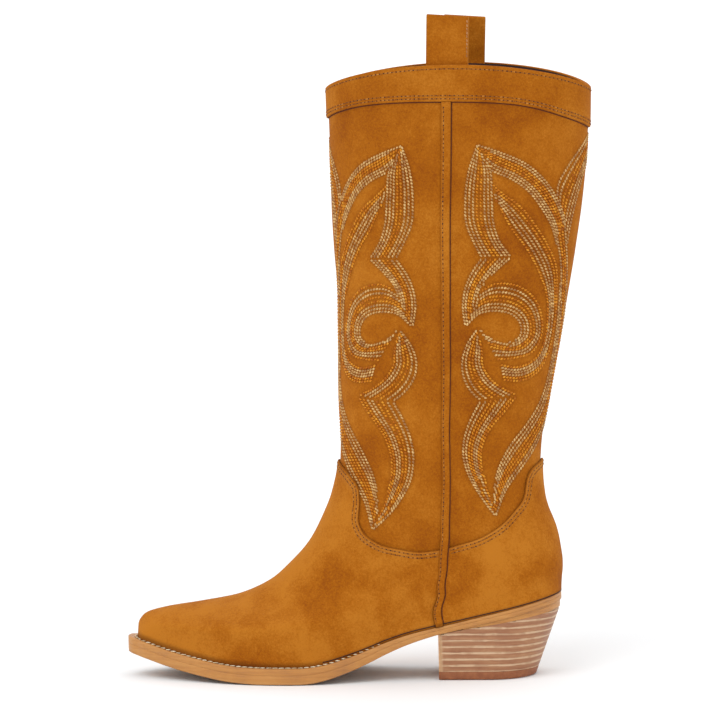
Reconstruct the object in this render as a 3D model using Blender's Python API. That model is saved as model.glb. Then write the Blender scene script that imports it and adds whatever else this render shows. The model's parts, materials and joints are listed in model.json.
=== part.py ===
"""Pull-on western boot for the left foot, built as its separate pieces.

Toe along -X, outer (lateral) side along -Y, up along +Z, standing on the floor. Lengths below are in
millimetres and are turned to metres when a mesh is made.

The upper is one smooth skin, S(v, w): v runs from the sole edge (0) to the rim (1), and w runs round the
boot from the back (-1) along the outer side to the front (0) and along the inner side to the back (1).
Every leather piece is a patch of that skin between two offsets, so neighbouring layers never touch.
"""

import math

import bmesh
import bpy
import numpy as np

MM = 0.001
CENTRE_X = 0.7
CENTRE_Y = -0.445

# ---- Size: lines of the boot in side view, on its centre plane -------------------------------------------
# Ring stations of the skin: v, front point x and z, back point x and z.
FOOT_RINGS = [
    (0.00, -143.7, 26.2, 122.3, 52.0),
    (0.03, -143.3, 32.0, 122.5, 56.5),
    (0.06, -139.6, 37.3, 122.8, 61.0),
    (0.10, -127.5, 41.1, 123.2, 66.5),
    (0.15, -105.0, 44.6, 123.2, 72.0),
    (0.20, -81.5, 48.8, 122.8, 77.5),
    (0.25, -59.3, 58.3, 121.9, 84.0),
    (0.30, -44.6, 71.2, 120.2, 91.0),
    (0.34, -33.4, 84.0, 117.9, 97.5),
    (0.38, -24.8, 99.4, 115.3, 104.5),
    (0.42, -18.0, 115.8, 113.4, 113.5),
    (0.46, -14.0, 134.9, 112.4, 128.0),
    (0.50, -13.4, 154.0, 113.4, 145.5),
]
SHAFT_V = 0.50
RIM_FRONT_Z = 368.5
RIM_BACK_Z = 366.5
SHAFT_FRONT_X = [(154, -13.4), (173, -13.8), (205, -13.4), (236, -13.3), (268, -14.7), (299, -15.8),
                 (330, -16.2), (368.5, -16.8)]
SHAFT_BACK_X = [(145.5, 113.4), (171.5, 118.4), (203, 124.4), (234, 130.2), (265, 136.2), (296, 141.1),
                (327, 144.3), (346, 145.6), (366.5, 146.2)]
SCALLOP_RISE = 15.0
SCALLOP_FROM_V = 0.62
SCALLOP_FULL_V = 0.93
SCALLOP_POWER = 1.35

# Half widths of the foot at the sole edge, and of the leg.
PLAN_HALF_WIDTH = [(-144, 9.3), (-140, 11.5), (-135, 14.2), (-128, 18.0), (-118, 23.2), (-105, 29.3),
                   (-90, 35.2), (-75, 39.6), (-60, 42.2), (-45, 43.2), (-30, 42.0), (-12, 38.0), (8, 33.0),
                   (28, 29.8), (48, 28.8), (70, 29.3), (90, 29.8), (123, 29.8)]
INNER_SIDE_SHIFT = 10.0
ARCH_HOLLOW = 2.5
TOE_SWING = 2.5
LEG_HALF_WIDTH = [(0.00, 30.0), (0.30, 31.5), (0.42, 33.5), (0.50, 35.0), (0.62, 36.5), (0.75, 38.5),
                  (0.90, 40.8), (1.00, 41.5)]
FRONT_ROUNDING = [(0.00, 4), (0.03, 9), (0.06, 22), (0.10, 48), (0.15, 75), (0.20, 90), (0.25, 98),
                  (0.30, 94), (0.34, 87), (0.38, 79), (0.42, 71), (0.46, 65), (0.50, 63.4)]
BACK_ROUNDING = [(0.00, 30), (0.10, 34), (0.20, 40), (0.30, 48), (0.40, 56), (0.46, 61), (0.50, 63.4)]
SAG = [(0.00, 1.0), (0.03, 0.97), (0.06, 0.92), (0.10, 0.86), (0.15, 0.76), (0.20, 0.62), (0.25, 0.46),
       (0.30, 0.31), (0.34, 0.20), (0.38, 0.11), (0.42, 0.04), (0.46, 0.0), (1.0, 0.0)]

# Sole: underside and total edge thickness from toe to heel breast, then the sloping heel seat.
SOLE_UNDERSIDE = [(-150, 14.8), (-139, 12.2), (-125, 8.6), (-111, 5.6), (-97, 3.1), (-84, 1.2), (-71, 0.25),
                  (-62, 0.0), (-38, 0.0), (-31, 0.45), (-21, 2.3), (-8, 6.4), (4, 11.3), (16, 17.0),
                  (29, 22.4), (41, 26.4), (50, 28.9), (88, 35.6), (124, 42.4)]
EDGE_THICKNESS = [(-150, 10.0), (-40, 10.0), (-10, 9.2), (10, 7.9), (30, 6.1), (50, 4.8), (88, 7.2),
                  (124, 9.4)]
WELT_THICKNESS = [(-150, 4.2), (-20, 4.2), (20, 3.0), (50, 1.9), (124, 2.2)]
REAR_OUTSOLE = 2.9
WELT_OVERHANG = [(-150, 4.6), (-60, 4.0), (-30, 3.8), (10, 2.7), (40, 1.9), (124, 1.5)]
TOE_OVERHANG = 5.2
HEEL_OVERHANG = 1.4

HEEL_BREAST_X = 48.2
BREAST_COVER = 1.2
HEEL_BACK_X = [(0.0, 107.2), (5.0, 109.0), (42.4, 122.8)]
HEEL_HALF_WIDTH = [(0.0, 27.6), (5.0, 28.0), (44.0, 30.8)]
TOP_LIFT_HEIGHT = 5.0
LIFT_HEIGHT = 3.95
LIFT_COUNT = 9
HEEL_NAILS = [(60.0, -17.0), (60.0, 17.0), (82.0, -18.0), (82.0, 18.0), (99.0, 0.0)]
NAIL_RADIUS = 0.9
HEEL_SCREW_X = 92.0
SCREW_RADIUS = 2.2

# Seams on the skin: u of the side seam at each v, then v of the other seams at each u (0 front, 1 back).
SIDE_SEAM = [(0.0, 0.655), (0.10, 0.642), (0.255, 0.580), (0.325, 0.562), (0.42, 0.547), (0.49, 0.541),
             (0.59, 0.526), (0.70, 0.508), (0.82, 0.498), (0.95, 0.496), (1.0, 0.496)]
VAMP_TOP = [(0.0, 0.462), (0.05, 0.460), (0.13, 0.453), (0.19, 0.443), (0.233, 0.431), (0.252, 0.412),
            (0.270, 0.385), (0.29, 0.372), (0.312, 0.362), (0.345, 0.352), (0.38, 0.343), (0.44, 0.333),
            (0.50, 0.323), (0.57, 0.318)]
COUNTER_TOP = [(0.55, 0.318), (0.57, 0.320), (0.63, 0.326), (0.69, 0.345), (0.765, 0.388), (0.813, 0.420),
               (0.835, 0.451), (0.868, 0.465), (0.925, 0.473), (1.0, 0.478)]
BAND_LOW = [(0.0, 0.956), (0.2, 0.955), (0.5, 0.948), (0.65, 0.949), (0.84, 0.944), (1.0, 0.943)]
JOINT_AHEAD = 0.010
JOINT_GAP = 0.0007
STRIP_WIDTH = 0.0245
PANEL_FRONT_LOW = [(0.0, 0.425), (0.1, 0.41), (0.22, 0.365), (0.35, 0.315), (0.57, 0.283)]
PANEL_BACK_LOW = [(0.55, 0.283), (0.7, 0.305), (0.8, 0.36), (0.9, 0.415), (1.0, 0.43)]
LINING_DROP = 0.022

# Leather layers, as (inner, outer) offsets from the skin.
OVERLAY = (0.22, 1.5)
BAND = (0.1, 1.3)
PANEL = (-1.5, -0.25)
STIFFENER = (-1.5, -0.75)
LINING = (-3.2, -2.2)
STRIP = (0.15, 1.2)
STRIP_ON_FOOT = (1.8, 2.7)

# Pull tabs: u of each tab's middle, and the strap's size.
TAB_U = {"lateral": 0.493, "medial": 0.511}
TAB_HALF_WIDTH = 13.0
TAB_ROOT = (-4.5, -1.95)
TAB_ROOT_FROM_V = 0.94
TAB_TOP_Z = 413.4
TAB_AXIS_ABOVE_RIM = 1.7
TAB_BASE_RADIUS = 1.35
TAB_TOP_RADIUS = 1.9
TAB_SLOT = 0.6
POCKET_DEPTH = 3.0


def smooth(keys):
    """A smooth curve through (position, value) pairs that never overshoots them."""
    at = np.array([k[0] for k in keys], float)
    value = np.array([k[1] for k in keys], float)
    step = np.diff(at)
    slope = np.diff(value) / step
    tangent = np.zeros(len(at))
    tangent[0] = slope[0]
    tangent[-1] = slope[-1]
    for i in range(1, len(at) - 1):
        if slope[i - 1] * slope[i] > 0:
            before = 2 * step[i] + step[i - 1]
            after = step[i] + 2 * step[i - 1]
            tangent[i] = (before + after) / (before / slope[i - 1] + after / slope[i])

    def curve(t):
        t = np.clip(t, at[0], at[-1])
        i = np.clip(np.searchsorted(at, t, side="right") - 1, 0, len(step) - 1)
        s = (t - at[i]) / step[i]
        lead = (1 + 2 * s) * (1 - s) ** 2 * value[i] + s * (1 - s) ** 2 * step[i] * tangent[i]
        return lead + s * s * (3 - 2 * s) * value[i + 1] + s * s * (s - 1) * step[i] * tangent[i + 1]

    return curve


def ease(low, high, t):
    s = np.clip((t - low) / (high - low), 0.0, 1.0)
    return s * s * (3 - 2 * s)


def shaft_v(z, low, high):
    return SHAFT_V + (1 - SHAFT_V) * (z - low) / (high - low)


FRONT_LOW_Z = FOOT_RINGS[-1][2]
BACK_LOW_Z = FOOT_RINGS[-1][4]
front_x = smooth([r[:2] for r in FOOT_RINGS]
                 + [(shaft_v(z, FRONT_LOW_Z, RIM_FRONT_Z), x) for z, x in SHAFT_FRONT_X[1:]])
front_z = smooth([(r[0], r[2]) for r in FOOT_RINGS] + [(0.75, (FRONT_LOW_Z + RIM_FRONT_Z) / 2), (1, RIM_FRONT_Z)])
back_x = smooth([(r[0], r[3]) for r in FOOT_RINGS]
                + [(shaft_v(z, BACK_LOW_Z, RIM_BACK_Z), x) for z, x in SHAFT_BACK_X[1:]])
back_z = smooth([(r[0], r[4]) for r in FOOT_RINGS] + [(0.75, (BACK_LOW_Z + RIM_BACK_Z) / 2), (1, RIM_BACK_Z)])
plan_width = smooth(PLAN_HALF_WIDTH)
leg_width = smooth(LEG_HALF_WIDTH)
front_round = smooth(FRONT_ROUNDING)
back_round = smooth(BACK_ROUNDING)
sag = smooth(SAG)
underside = smooth(SOLE_UNDERSIDE)
edge_thickness = smooth(EDGE_THICKNESS)
welt_thickness = smooth(WELT_THICKNESS)
overhang = smooth(WELT_OVERHANG)


def welt_top(x):
    return underside(x) + edge_thickness(x)


def feather(x):
    """Height of the upper's lower edge above the floor."""
    return welt_top(x) + 0.3


def foot_width(x, side):
    """Half width of the upper at the sole edge. Side is -1 on the outer side and 1 on the inner side."""
    inner = plan_width(x + INNER_SIDE_SHIFT * (1 - ease(-20, 40, x)) * ease(-144, -110, x))
    inner = inner - ARCH_HOLLOW * ease(-25, 10, x) * (1 - ease(25, 60, x))
    return np.where(side < 0, plan_width(x), inner)


def swing(x):
    return TOE_SWING * (1 - ease(-140, -20, x))


def rounding(t):
    t = np.clip(t, 0.0, 1.0)
    return np.sqrt(np.maximum(1 - (1 - t) ** 2, 0.0))


def skin(v, w):
    """Points of the skin, as an array of shape (..., 3)."""
    v, w = np.broadcast_arrays(np.asarray(v, float), np.asarray(w, float))
    w = (w + 1) % 2 - 1
    u = np.abs(w)
    side = np.where(w < 0, -1.0, 1.0)
    first, last = front_x(v), back_x(v)
    along = (1 - np.cos(math.pi * u)) / 2
    x = first + (last - first) * along
    half = (last - first) / 2
    shaft = ease(0.44, 0.56, v)
    front_length = front_round(v) * (1 - shaft) + half * shaft
    back_length = back_round(v) * (1 - shaft) + half * shaft
    leg = ease(0.03, 0.46, v)
    bulge = 1 + 0.055 * np.sin(math.pi * np.clip(v / 0.34, 0, 1))
    width = foot_width(x, side) * bulge * (1 - leg) + leg_width(v) * leg
    y = side * width * rounding((x - first) / front_length) * rounding((last - x) / back_length)
    y = y + swing(x) * (1 - leg)
    low_x = front_x(0.0) + (back_x(0.0) - front_x(0.0)) * along
    low_chord = feather(front_x(0.0)) + (feather(back_x(0.0)) - feather(front_x(0.0))) * along
    z = front_z(v) + (back_z(v) - front_z(v)) * along
    z = z + sag(v) * (feather(low_x) - low_chord)
    rise = SCALLOP_RISE * ease(SCALLOP_FROM_V, SCALLOP_FULL_V, v)
    z = z + rise * np.sin(math.pi * u) ** SCALLOP_POWER
    return np.stack([x, y, z], -1)


def skin_normal(v, w):
    step = 1e-3
    across = skin(v, w + step) - skin(v, w - step)
    up = skin(np.minimum(v + step, 1.0), w) - skin(np.maximum(v - step, 0.0), w)
    normal = np.cross(up, across)
    return normal / np.linalg.norm(normal, axis=-1, keepdims=True)


side_seam = smooth(SIDE_SEAM)
vamp_top = smooth(VAMP_TOP)
counter_top = smooth(COUNTER_TOP)
band_low = smooth(BAND_LOW)
panel_front_low = smooth(PANEL_FRONT_LOW)
panel_back_low = smooth(PANEL_BACK_LOW)


def front_w(s, v):
    """w of a piece in front of the side seams, for s from -1 (outer seam) to 1 (inner seam)."""
    return s * (side_seam(v) - JOINT_AHEAD - JOINT_GAP)


def back_w(s, v):
    """w of a piece behind the side seams, for s from -1 (outer seam) to 1 (inner seam)."""
    u = 1 - np.abs(s) * (1 - side_seam(v) + JOINT_AHEAD - JOINT_GAP)
    return np.where(s < 0, -u, u)


# ==== pieces ====
MATERIALS = {
    "suede": ((0.50, 0.19, 0.035), 0.85, 0.0),
    "lining": ((0.035, 0.018, 0.010), 0.7, 0.0),
    "stiffener": ((0.55, 0.50, 0.42), 0.8, 0.0),
    "sole": ((0.52, 0.28, 0.12), 0.55, 0.0),
    "stack": ((0.45, 0.25, 0.13), 0.6, 0.0),
    "board": ((0.36, 0.24, 0.14), 0.8, 0.0),
    "cork": ((0.42, 0.27, 0.14), 0.9, 0.0),
    "rubber": ((0.30, 0.12, 0.05), 0.6, 0.0),
    "steel": ((0.60, 0.60, 0.62), 0.35, 1.0),
    "brass": ((0.75, 0.55, 0.22), 0.35, 1.0),
}


def clear_scene():
    for obj in list(bpy.data.objects):
        bpy.data.objects.remove(obj, do_unlink=True)


def collection(name, hidden=False):
    made = bpy.data.collections.new(name)
    bpy.context.scene.collection.children.link(made)
    made.hide_render = hidden
    return made


def material(node, kind):
    colour, roughness, metallic = MATERIALS[kind]
    made = bpy.data.materials.new(node + "_" + kind)
    made.use_nodes = True
    shader = made.node_tree.nodes["Principled BSDF"]
    shader.inputs["Base Color"].default_value = (*colour, 1.0)
    shader.inputs["Roughness"].default_value = roughness
    shader.inputs["Metallic"].default_value = metallic
    return made


def add_mesh(node, points, faces, kind, target, origin=(0.0, 0.0, 0.0), round_shading=True):
    """An object from points in millimetres, with its origin at the given point."""
    centre = np.array([CENTRE_X, CENTRE_Y, 0.0])
    mesh = bpy.data.meshes.new(node)
    build = bmesh.new()
    made = [build.verts.new(p) for p in (np.asarray(points, float) - origin) * MM]
    for face in faces:
        build.faces.new([made[i] for i in face])
    bmesh.ops.remove_doubles(build, verts=build.verts, dist=2e-7)
    bmesh.ops.recalc_face_normals(build, faces=build.faces)
    build.to_mesh(mesh)
    build.free()
    for polygon in mesh.polygons:
        polygon.use_smooth = round_shading
    if kind:
        mesh.materials.append(material(node, kind))
    obj = bpy.data.objects.new(node, mesh)
    obj.location = (np.asarray(origin, float) + centre) * MM
    target.objects.link(obj)
    return obj


def shell_faces(rows, columns):
    """Quads of a closed shell over two grids of points, the outer one first."""
    def at(layer, i, j):
        return (layer * rows + i) * columns + j

    faces = []
    for layer in (0, 1):
        for i in range(rows - 1):
            for j in range(columns - 1):
                faces.append((at(layer, i, j), at(layer, i, j + 1), at(layer, i + 1, j + 1), at(layer, i + 1, j)))
    for j in range(columns - 1):
        for i in (0, rows - 1):
            faces.append((at(0, i, j), at(0, i, j + 1), at(1, i, j + 1), at(1, i, j)))
    for i in range(rows - 1):
        for j in (0, columns - 1):
            faces.append((at(0, i, j), at(0, i + 1, j), at(1, i + 1, j), at(1, i, j)))
    return faces


def as_function(value):
    return value if callable(value) else lambda v, w: value


def patch(node, across, low, high, layer, kind, target, span=(-1.0, 1.0), columns=28, rows=12,
          crowd=1.0):
    """A leather piece: a patch of the skin from low(u) to high(u), between the two offsets of its layer."""
    s = np.linspace(span[0], span[1], columns + 1)
    r = np.linspace(0.0, 1.0, rows + 1)[:, None] ** crowd
    v_low = settle(across, low, s)
    v_high = settle(across, high, s)
    v = v_low + (v_high - v_low) * r
    w = across(s, v)
    base, normal = skin(v, w), skin_normal(v, w)
    grids = []
    for offset in (layer[1], layer[0]):
        grid = base + normal * np.broadcast_to(as_function(offset)(v, w), v.shape)[..., None]
        on_welt = v < 1e-6
        grid[..., 2] = np.where(on_welt, feather(grid[..., 0]), grid[..., 2])
        grids.append(grid.reshape(-1, 3))
    return add_mesh(node, np.concatenate(grids), shell_faces(rows + 1, columns + 1), kind, target)


def settle(across, seam, s):
    """v of a seam given by u, along the columns s, whose own u depends a little on v."""
    if not callable(seam):
        return np.full(len(s), float(seam))
    v = np.full(len(s), 0.4)
    for _ in range(30):
        v = seam(np.abs(across(s, v)))
    return v


def outline(toe, side, heel, w):
    """Plan outline of a sole piece: the upper's sole edge grown by these amounts at toe, sides and heel."""
    w = np.asarray(w, float)
    u = np.abs(w)
    first = front_x(0.0) - toe
    last = back_x(0.0) + heel
    x = first + (last - first) * (1 - np.cos(math.pi * u)) / 2
    grow = side(x) if callable(side) else side
    half = foot_width(x, np.where(w < 0, -1, 1)) + grow
    half = half * rounding((x - first) / (5.0 + abs(toe))) * rounding((last - x) / (30.0 + heel))
    return x, np.where(w < 0, -half, half) + swing(x)


def slab(node, x, outer_y, inner_y, low, high, kind, target):
    """A plate with a curved underside and top: one section across at each station x."""
    points = []
    for z in (high, low):
        points.append(np.stack([x, outer_y, z], -1))
        points.append(np.stack([x, inner_y, z], -1))
    count = len(x)
    grid = np.concatenate(points)
    faces = []
    for i in range(count - 1):
        for a, b in ((0, 1), (1, 3), (3, 2), (2, 0)):
            faces.append((a * count + i, a * count + i + 1, b * count + i + 1, b * count + i))
    for i in (0, count - 1):
        faces.append((i, count + i, 3 * count + i, 2 * count + i))
    return closed_mesh(node, grid, faces, kind, target)


def closed_mesh(node, points, faces, kind, target):
    """A mesh whose repeated corners are first made one, so that a pointed end closes cleanly."""
    _, first, same = np.unique(np.round(points, 4), axis=0, return_index=True, return_inverse=True)
    same = same.reshape(-1)
    kept = []
    for face in faces:
        ring = []
        for i in face:
            if not ring or same[i] != ring[-1]:
                ring.append(same[i])
        if len(ring) > 1 and ring[0] == ring[-1]:
            ring.pop()
        if len(set(ring)) > 2:
            kept.append(ring)
    return add_mesh(node, points[first], kept, kind, target, round_shading=False)


def full_slab(node, growth, low, high, kind, target, stations=44, x_range=(-200.0, 200.0)):
    """A slab with the outline of the foot."""
    u = np.linspace(0.0, 1.0, stations + 1)
    x, outer_y = outline(*growth, -u)
    _, inner_y = outline(*growth, u)
    keep = (x >= x_range[0]) & (x <= x_range[1])
    x, outer_y, inner_y = x[keep], outer_y[keep], inner_y[keep]
    return slab(node, x, outer_y, inner_y, low(x), high(x), kind, target)


def outsole_top(x):
    return welt_top(x) - welt_thickness(x) - 0.25


def outsole_bottom(x):
    full = outsole_top(x) - underside(x)
    return outsole_top(x) - np.where(x > HEEL_BREAST_X, np.minimum(full, REAR_OUTSOLE), full)


def board_bottom(x):
    return welt_top(x) + 0.4


def heel_section(z):
    """How far back the heel reaches at height z, and its half width there."""
    back = np.interp(z, [k[0] for k in HEEL_BACK_X], [k[1] for k in HEEL_BACK_X])
    half = np.interp(z, [k[0] for k in HEEL_HALF_WIDTH], [k[1] for k in HEEL_HALF_WIDTH])
    return back, half


def heel_layer(node, low, high, start, kind, target, stations=16):
    """A D-shaped layer of the heel between two heights, which may depend on x."""
    s = np.sin(np.linspace(0.0, math.pi / 2, stations + 1))
    edges = []
    for height in (high, low):
        z = np.full(len(s), 20.0)
        for _ in range(8):
            back, half = heel_section(z)
            x = start + (back - start) * s
            z = height(x)
        y = half * rounding((back - x) / half)
        edges.append((x, y, z))
    (x_high, y_high, z_high), (x_low, y_low, z_low) = edges
    points = [np.stack([x_high, -y_high, z_high], -1), np.stack([x_high, y_high, z_high], -1),
              np.stack([x_low, -y_low, z_low], -1), np.stack([x_low, y_low, z_low], -1)]
    count = len(s)
    faces = []
    for i in range(count - 1):
        for a, b in ((0, 1), (1, 3), (3, 2), (2, 0)):
            faces.append((a * count + i, a * count + i + 1, b * count + i + 1, b * count + i))
    for i in (0, count - 1):
        faces.append((i, count + i, 3 * count + i, 2 * count + i))
    return closed_mesh(node, np.concatenate(points), faces, kind, target)


def ring_strip(node, outer, inner, low, high, kind, target, stations=92):
    """A flat strip right round the foot, between an outer and an inner outline."""
    turn = np.linspace(-1.0, 1.0, stations, endpoint=False)
    loops = []
    for growth, height in ((outer, high), (inner, high), (inner, low), (outer, low)):
        x, y = outline(*growth, turn)
        loops.append(np.stack([x, y, height(x)], -1))
    faces = []
    for k in range(4):
        for i in range(stations):
            j = (i + 1) % stations
            n = (k + 1) % 4
            faces.append((k * stations + i, k * stations + j, n * stations + j, n * stations + i))
    return add_mesh(node, np.concatenate(loops), faces, kind, target, round_shading=False)


def cylinder(node, radius, start, end, kind, target, sides=14):
    """A round bar from one point to the other."""
    start, end = np.asarray(start, float), np.asarray(end, float)
    axis = (end - start) / np.linalg.norm(end - start)
    first = np.cross(axis, (0.0, 1.0, 0.0))
    first /= np.linalg.norm(first)
    second = np.cross(axis, first)
    angle = np.arange(sides) * 2 * math.pi / sides
    circle = radius * (np.cos(angle)[:, None] * first + np.sin(angle)[:, None] * second)
    points = np.concatenate([start + circle, end + circle])
    faces = [tuple(range(sides)), tuple(range(sides, 2 * sides))]
    for i in range(sides):
        j = (i + 1) % sides
        faces.append((i, j, sides + j, sides + i))
    return add_mesh(node, points, faces, kind, target)


def bore(objects, cutter):
    cutter.hide_render = True
    cutter.display_type = "WIRE"
    for obj in objects:
        cut = obj.modifiers.new("bore_" + cutter.name, "BOOLEAN")
        cut.operation = "DIFFERENCE"
        cut.solver = "EXACT"
        cut.object = cutter


def pocket(v, w, u_middle, side):
    """How far the lining stands in to make room for the root of a pull tab."""
    near = 1 - ease(0.056, 0.105, np.abs(np.abs(w) - u_middle))
    high = ease(TAB_ROOT_FROM_V - 0.09, TAB_ROOT_FROM_V - 0.035, v)
    return POCKET_DEPTH * near * high * (np.sign(w) == side)


def lining_offset(offset):
    def at(v, w):
        return offset - pocket(v, w, TAB_U["lateral"], -1) - pocket(v, w, TAB_U["medial"], 1)

    return at


def front_split(u):
    """v where the leg lining ends and the foot lining begins, in front of the side seams."""
    return panel_front_low(u) - LINING_DROP


def back_split(u):
    return panel_back_low(u) - LINING_DROP


def strip_offset(on_foot, on_shaft):
    return lambda v, w: on_shaft + (on_foot - on_shaft) * (1 - ease(0.326, 0.348, v))


def side_strip(node, side, target):
    def across(s, v):
        return side * (side_seam(v) + 0.001 - STRIP_WIDTH * (1 - s))

    layer = (strip_offset(STRIP_ON_FOOT[0], STRIP[0]), strip_offset(STRIP_ON_FOOT[1], STRIP[1]))
    high = 0.946
    return patch(node, across, 0.0, high, layer, "suede", target, span=(0.0, 1.0), columns=2, rows=34)


def pull_tab(name, side, target):
    """The free loop of a pull strap. Its origin lies on the line that it bends about, just above the rim."""
    u = TAB_U[name]
    rim, normal = skin(1.0, side * u), skin_normal(1.0, side * u)
    middle = (TAB_ROOT[0] + TAB_ROOT[1]) / 2
    axis = rim + normal * middle
    axis[2] = rim[2] + TAB_AXIS_ABOVE_RIM
    top = TAB_TOP_Z - TAB_TOP_RADIUS - axis[2]
    arc = np.linspace(0.0, math.pi, 9)
    outer = [(TAB_TOP_RADIUS * math.cos(a), top + TAB_TOP_RADIUS * math.sin(a)) for a in arc]
    outer += [(-TAB_BASE_RADIUS * math.cos(a), -TAB_BASE_RADIUS * math.sin(a)) for a in arc]
    inner = [(TAB_SLOT * math.cos(a), top - 0.2 + TAB_SLOT * math.sin(a)) for a in arc]
    inner += [(-0.3 * math.cos(a), 4.5 - 0.3 * math.sin(a)) for a in arc]
    count = len(outer)
    points = []
    for end in (-1, 1):
        for loop in (outer, inner):
            for across, up in loop:
                half = TAB_HALF_WIDTH + 0.7 * (1 - up / top)
                points.append(axis + np.array([end * half, across, up]))
    faces = []
    for i in range(count):
        j = (i + 1) % count
        for a, b in ((0, 1), (2, 3), (0, 2), (1, 3)):
            faces.append((a * count + i, a * count + j, b * count + j, b * count + i))
    return add_mesh(name + "_pull_tab", np.array(points), faces, "suede", target, origin=axis)


def build():
    clear_scene()
    boot = collection("western_boot")
    helpers = collection("cutters", hidden=True)

    patch("front_shaft_panel", front_w, panel_front_low, 0.9975, PANEL, "suede", boot, rows=16, crowd=1.3)
    patch("back_shaft_panel", back_w, panel_back_low, 0.9975, PANEL, "suede", boot, rows=16, crowd=1.3)
    patch("front_collar_band", front_w, band_low, 1.0, BAND, "suede", boot, rows=3)
    patch("back_collar_band", back_w, band_low, 1.0, BAND, "suede", boot, rows=3)
    patch("vamp", front_w, 0.0, vamp_top, OVERLAY, "suede", boot, columns=40, rows=14, crowd=1.35)
    patch("heel_counter_cover", back_w, 0.0, counter_top, OVERLAY, "suede", boot, columns=24, rows=10)
    side_strip("lateral_side_seam_strip", -1, boot)
    side_strip("medial_side_seam_strip", 1, boot)

    lining = (lining_offset(LINING[0]), lining_offset(LINING[1]))
    patch("front_shaft_lining", front_w, front_split, 0.998, lining, "lining", boot, rows=16, crowd=1.3)
    patch("back_shaft_lining", back_w, back_split, 0.998, lining, "lining", boot, rows=16, crowd=1.3)
    patch("vamp_lining", front_w, 0.0, lambda u: front_split(u) - 0.004, LINING, "lining", boot,
          columns=32, rows=11, crowd=1.35)
    patch("heel_lining", back_w, 0.0, lambda u: back_split(u) - 0.004, LINING, "lining", boot,
          columns=24, rows=7)
    patch("toe_puff", front_w, 0.0, lambda u: 0.03 + 0.12 * np.cos(math.pi / 2 * u / 0.28), STIFFENER,
          "stiffener", boot, span=(-0.4, 0.4), columns=24, rows=8)
    patch("heel_counter_stiffener", back_w, 0.0, lambda u: panel_back_low(u) - 0.012, STIFFENER, "stiffener",
          boot, span=(-0.72, 0.72), columns=20, rows=6)

    for name, side in (("lateral", -1), ("medial", 1)):
        u = TAB_U[name]
        reach = TAB_HALF_WIDTH / (math.pi * (back_x(1.0) - front_x(1.0)) / 2)
        patch(name + "_tab_root", lambda s, v: side * (u + s * reach), TAB_ROOT_FROM_V, 1.0, TAB_ROOT,
              "suede", boot, columns=4, rows=3)
        pull_tab(name, side, boot)

    full_slab("sock_lining", (-6.8, -5.2, -4.6), lambda x: welt_top(x) + 3.1, lambda x: welt_top(x) + 4.1,
              "lining", boot)
    full_slab("insole_board", (-4.8, -4.3, -3.9), board_bottom, lambda x: board_bottom(x) + 2.4, "board", boot)
    full_slab("forefoot_filler", (-7.5, -7.5, -7.5), lambda x: outsole_top(x) + 0.3,
              lambda x: welt_top(x) + 0.1, "cork", boot, x_range=(-200.0, -14.0))
    shank_x = np.linspace(-10.0, 78.0, 15)
    shank_y = np.full(15, 6.5)
    slab("steel_shank", shank_x, -shank_y, shank_y, outsole_top(shank_x) + 0.4, outsole_top(shank_x) + 1.7,
         "steel", boot)
    edge = (TOE_OVERHANG, overhang, HEEL_OVERHANG)
    ring_strip("welt", edge, (-6.5, -6.5, -6.5), lambda x: welt_top(x) - welt_thickness(x), welt_top, "sole",
               boot)
    outsole = full_slab("outsole", edge, outsole_bottom, outsole_top, "sole", boot, stations=52)

    front = HEEL_BREAST_X + BREAST_COVER + 0.3
    wedge = heel_layer("heel_seat_wedge", underside, lambda x: outsole_bottom(x) - 0.2, 70.0, "sole", boot)
    lifts = []
    for k in range(LIFT_COUNT):
        bottom = TOP_LIFT_HEIGHT + LIFT_HEIGHT * k + 0.1
        top = TOP_LIFT_HEIGHT + LIFT_HEIGHT * (k + 1) - 0.1
        start = front
        while float(heel_ceiling(start)) < bottom + 0.8:
            start += 0.5
        lifts.append(heel_layer("heel_lift_%d" % (k + 1), lambda x, z=bottom: np.full(np.shape(x), z),
                                lambda x, z=top: np.minimum(z, heel_ceiling(x)), start, "stack", boot))
    top_lift = heel_layer("top_lift", lambda x: np.zeros(np.shape(x)),
                          lambda x: np.full(np.shape(x), TOP_LIFT_HEIGHT - 0.1), HEEL_BREAST_X, "rubber", boot)
    cover_z = np.array([TOP_LIFT_HEIGHT + 0.2, 28.2])
    _, half = heel_section(cover_z)
    corners = [(x, side * y, z) for z, y in zip(cover_z, half) for x, side in
               ((HEEL_BREAST_X, -1), (HEEL_BREAST_X, 1), (HEEL_BREAST_X + BREAST_COVER, 1),
                (HEEL_BREAST_X + BREAST_COVER, -1))]
    sides = [(0, 1, 2, 3), (4, 5, 6, 7)] + [(i, (i + 1) % 4, (i + 1) % 4 + 4, i + 4) for i in range(4)]
    add_mesh("heel_breast_cover", corners, sides, "stack", boot, round_shading=False)

    for k, (x, y) in enumerate(HEEL_NAILS):
        cylinder("heel_nail_%d" % (k + 1), NAIL_RADIUS, (x, y, 0.2), (x, y, 8.4), "brass", boot, sides=10)
        hole = cylinder("nail_hole_%d" % (k + 1), NAIL_RADIUS + 0.3, (x, y, -2.0), (x, y, 8.7), None, helpers,
                        sides=10)
        bore([top_lift, lifts[0]], hole)
    head = np.array([HEEL_SCREW_X, 0.0, outsole_top(HEEL_SCREW_X) + 1.9])
    tip = head + np.array([3.6, 0.0, -20.0])
    cylinder("heel_screw", SCREW_RADIUS, head, tip, "steel", boot)
    hole = cylinder("screw_hole", SCREW_RADIUS + 0.35, head + (head - tip) * 0.3, tip + (tip - head) * 0.02,
                    None, helpers)
    bore([outsole, wedge] + lifts[3:], hole)


def heel_ceiling(x):
    return np.minimum(underside(x), outsole_bottom(x)) - 0.25


build()
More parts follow.
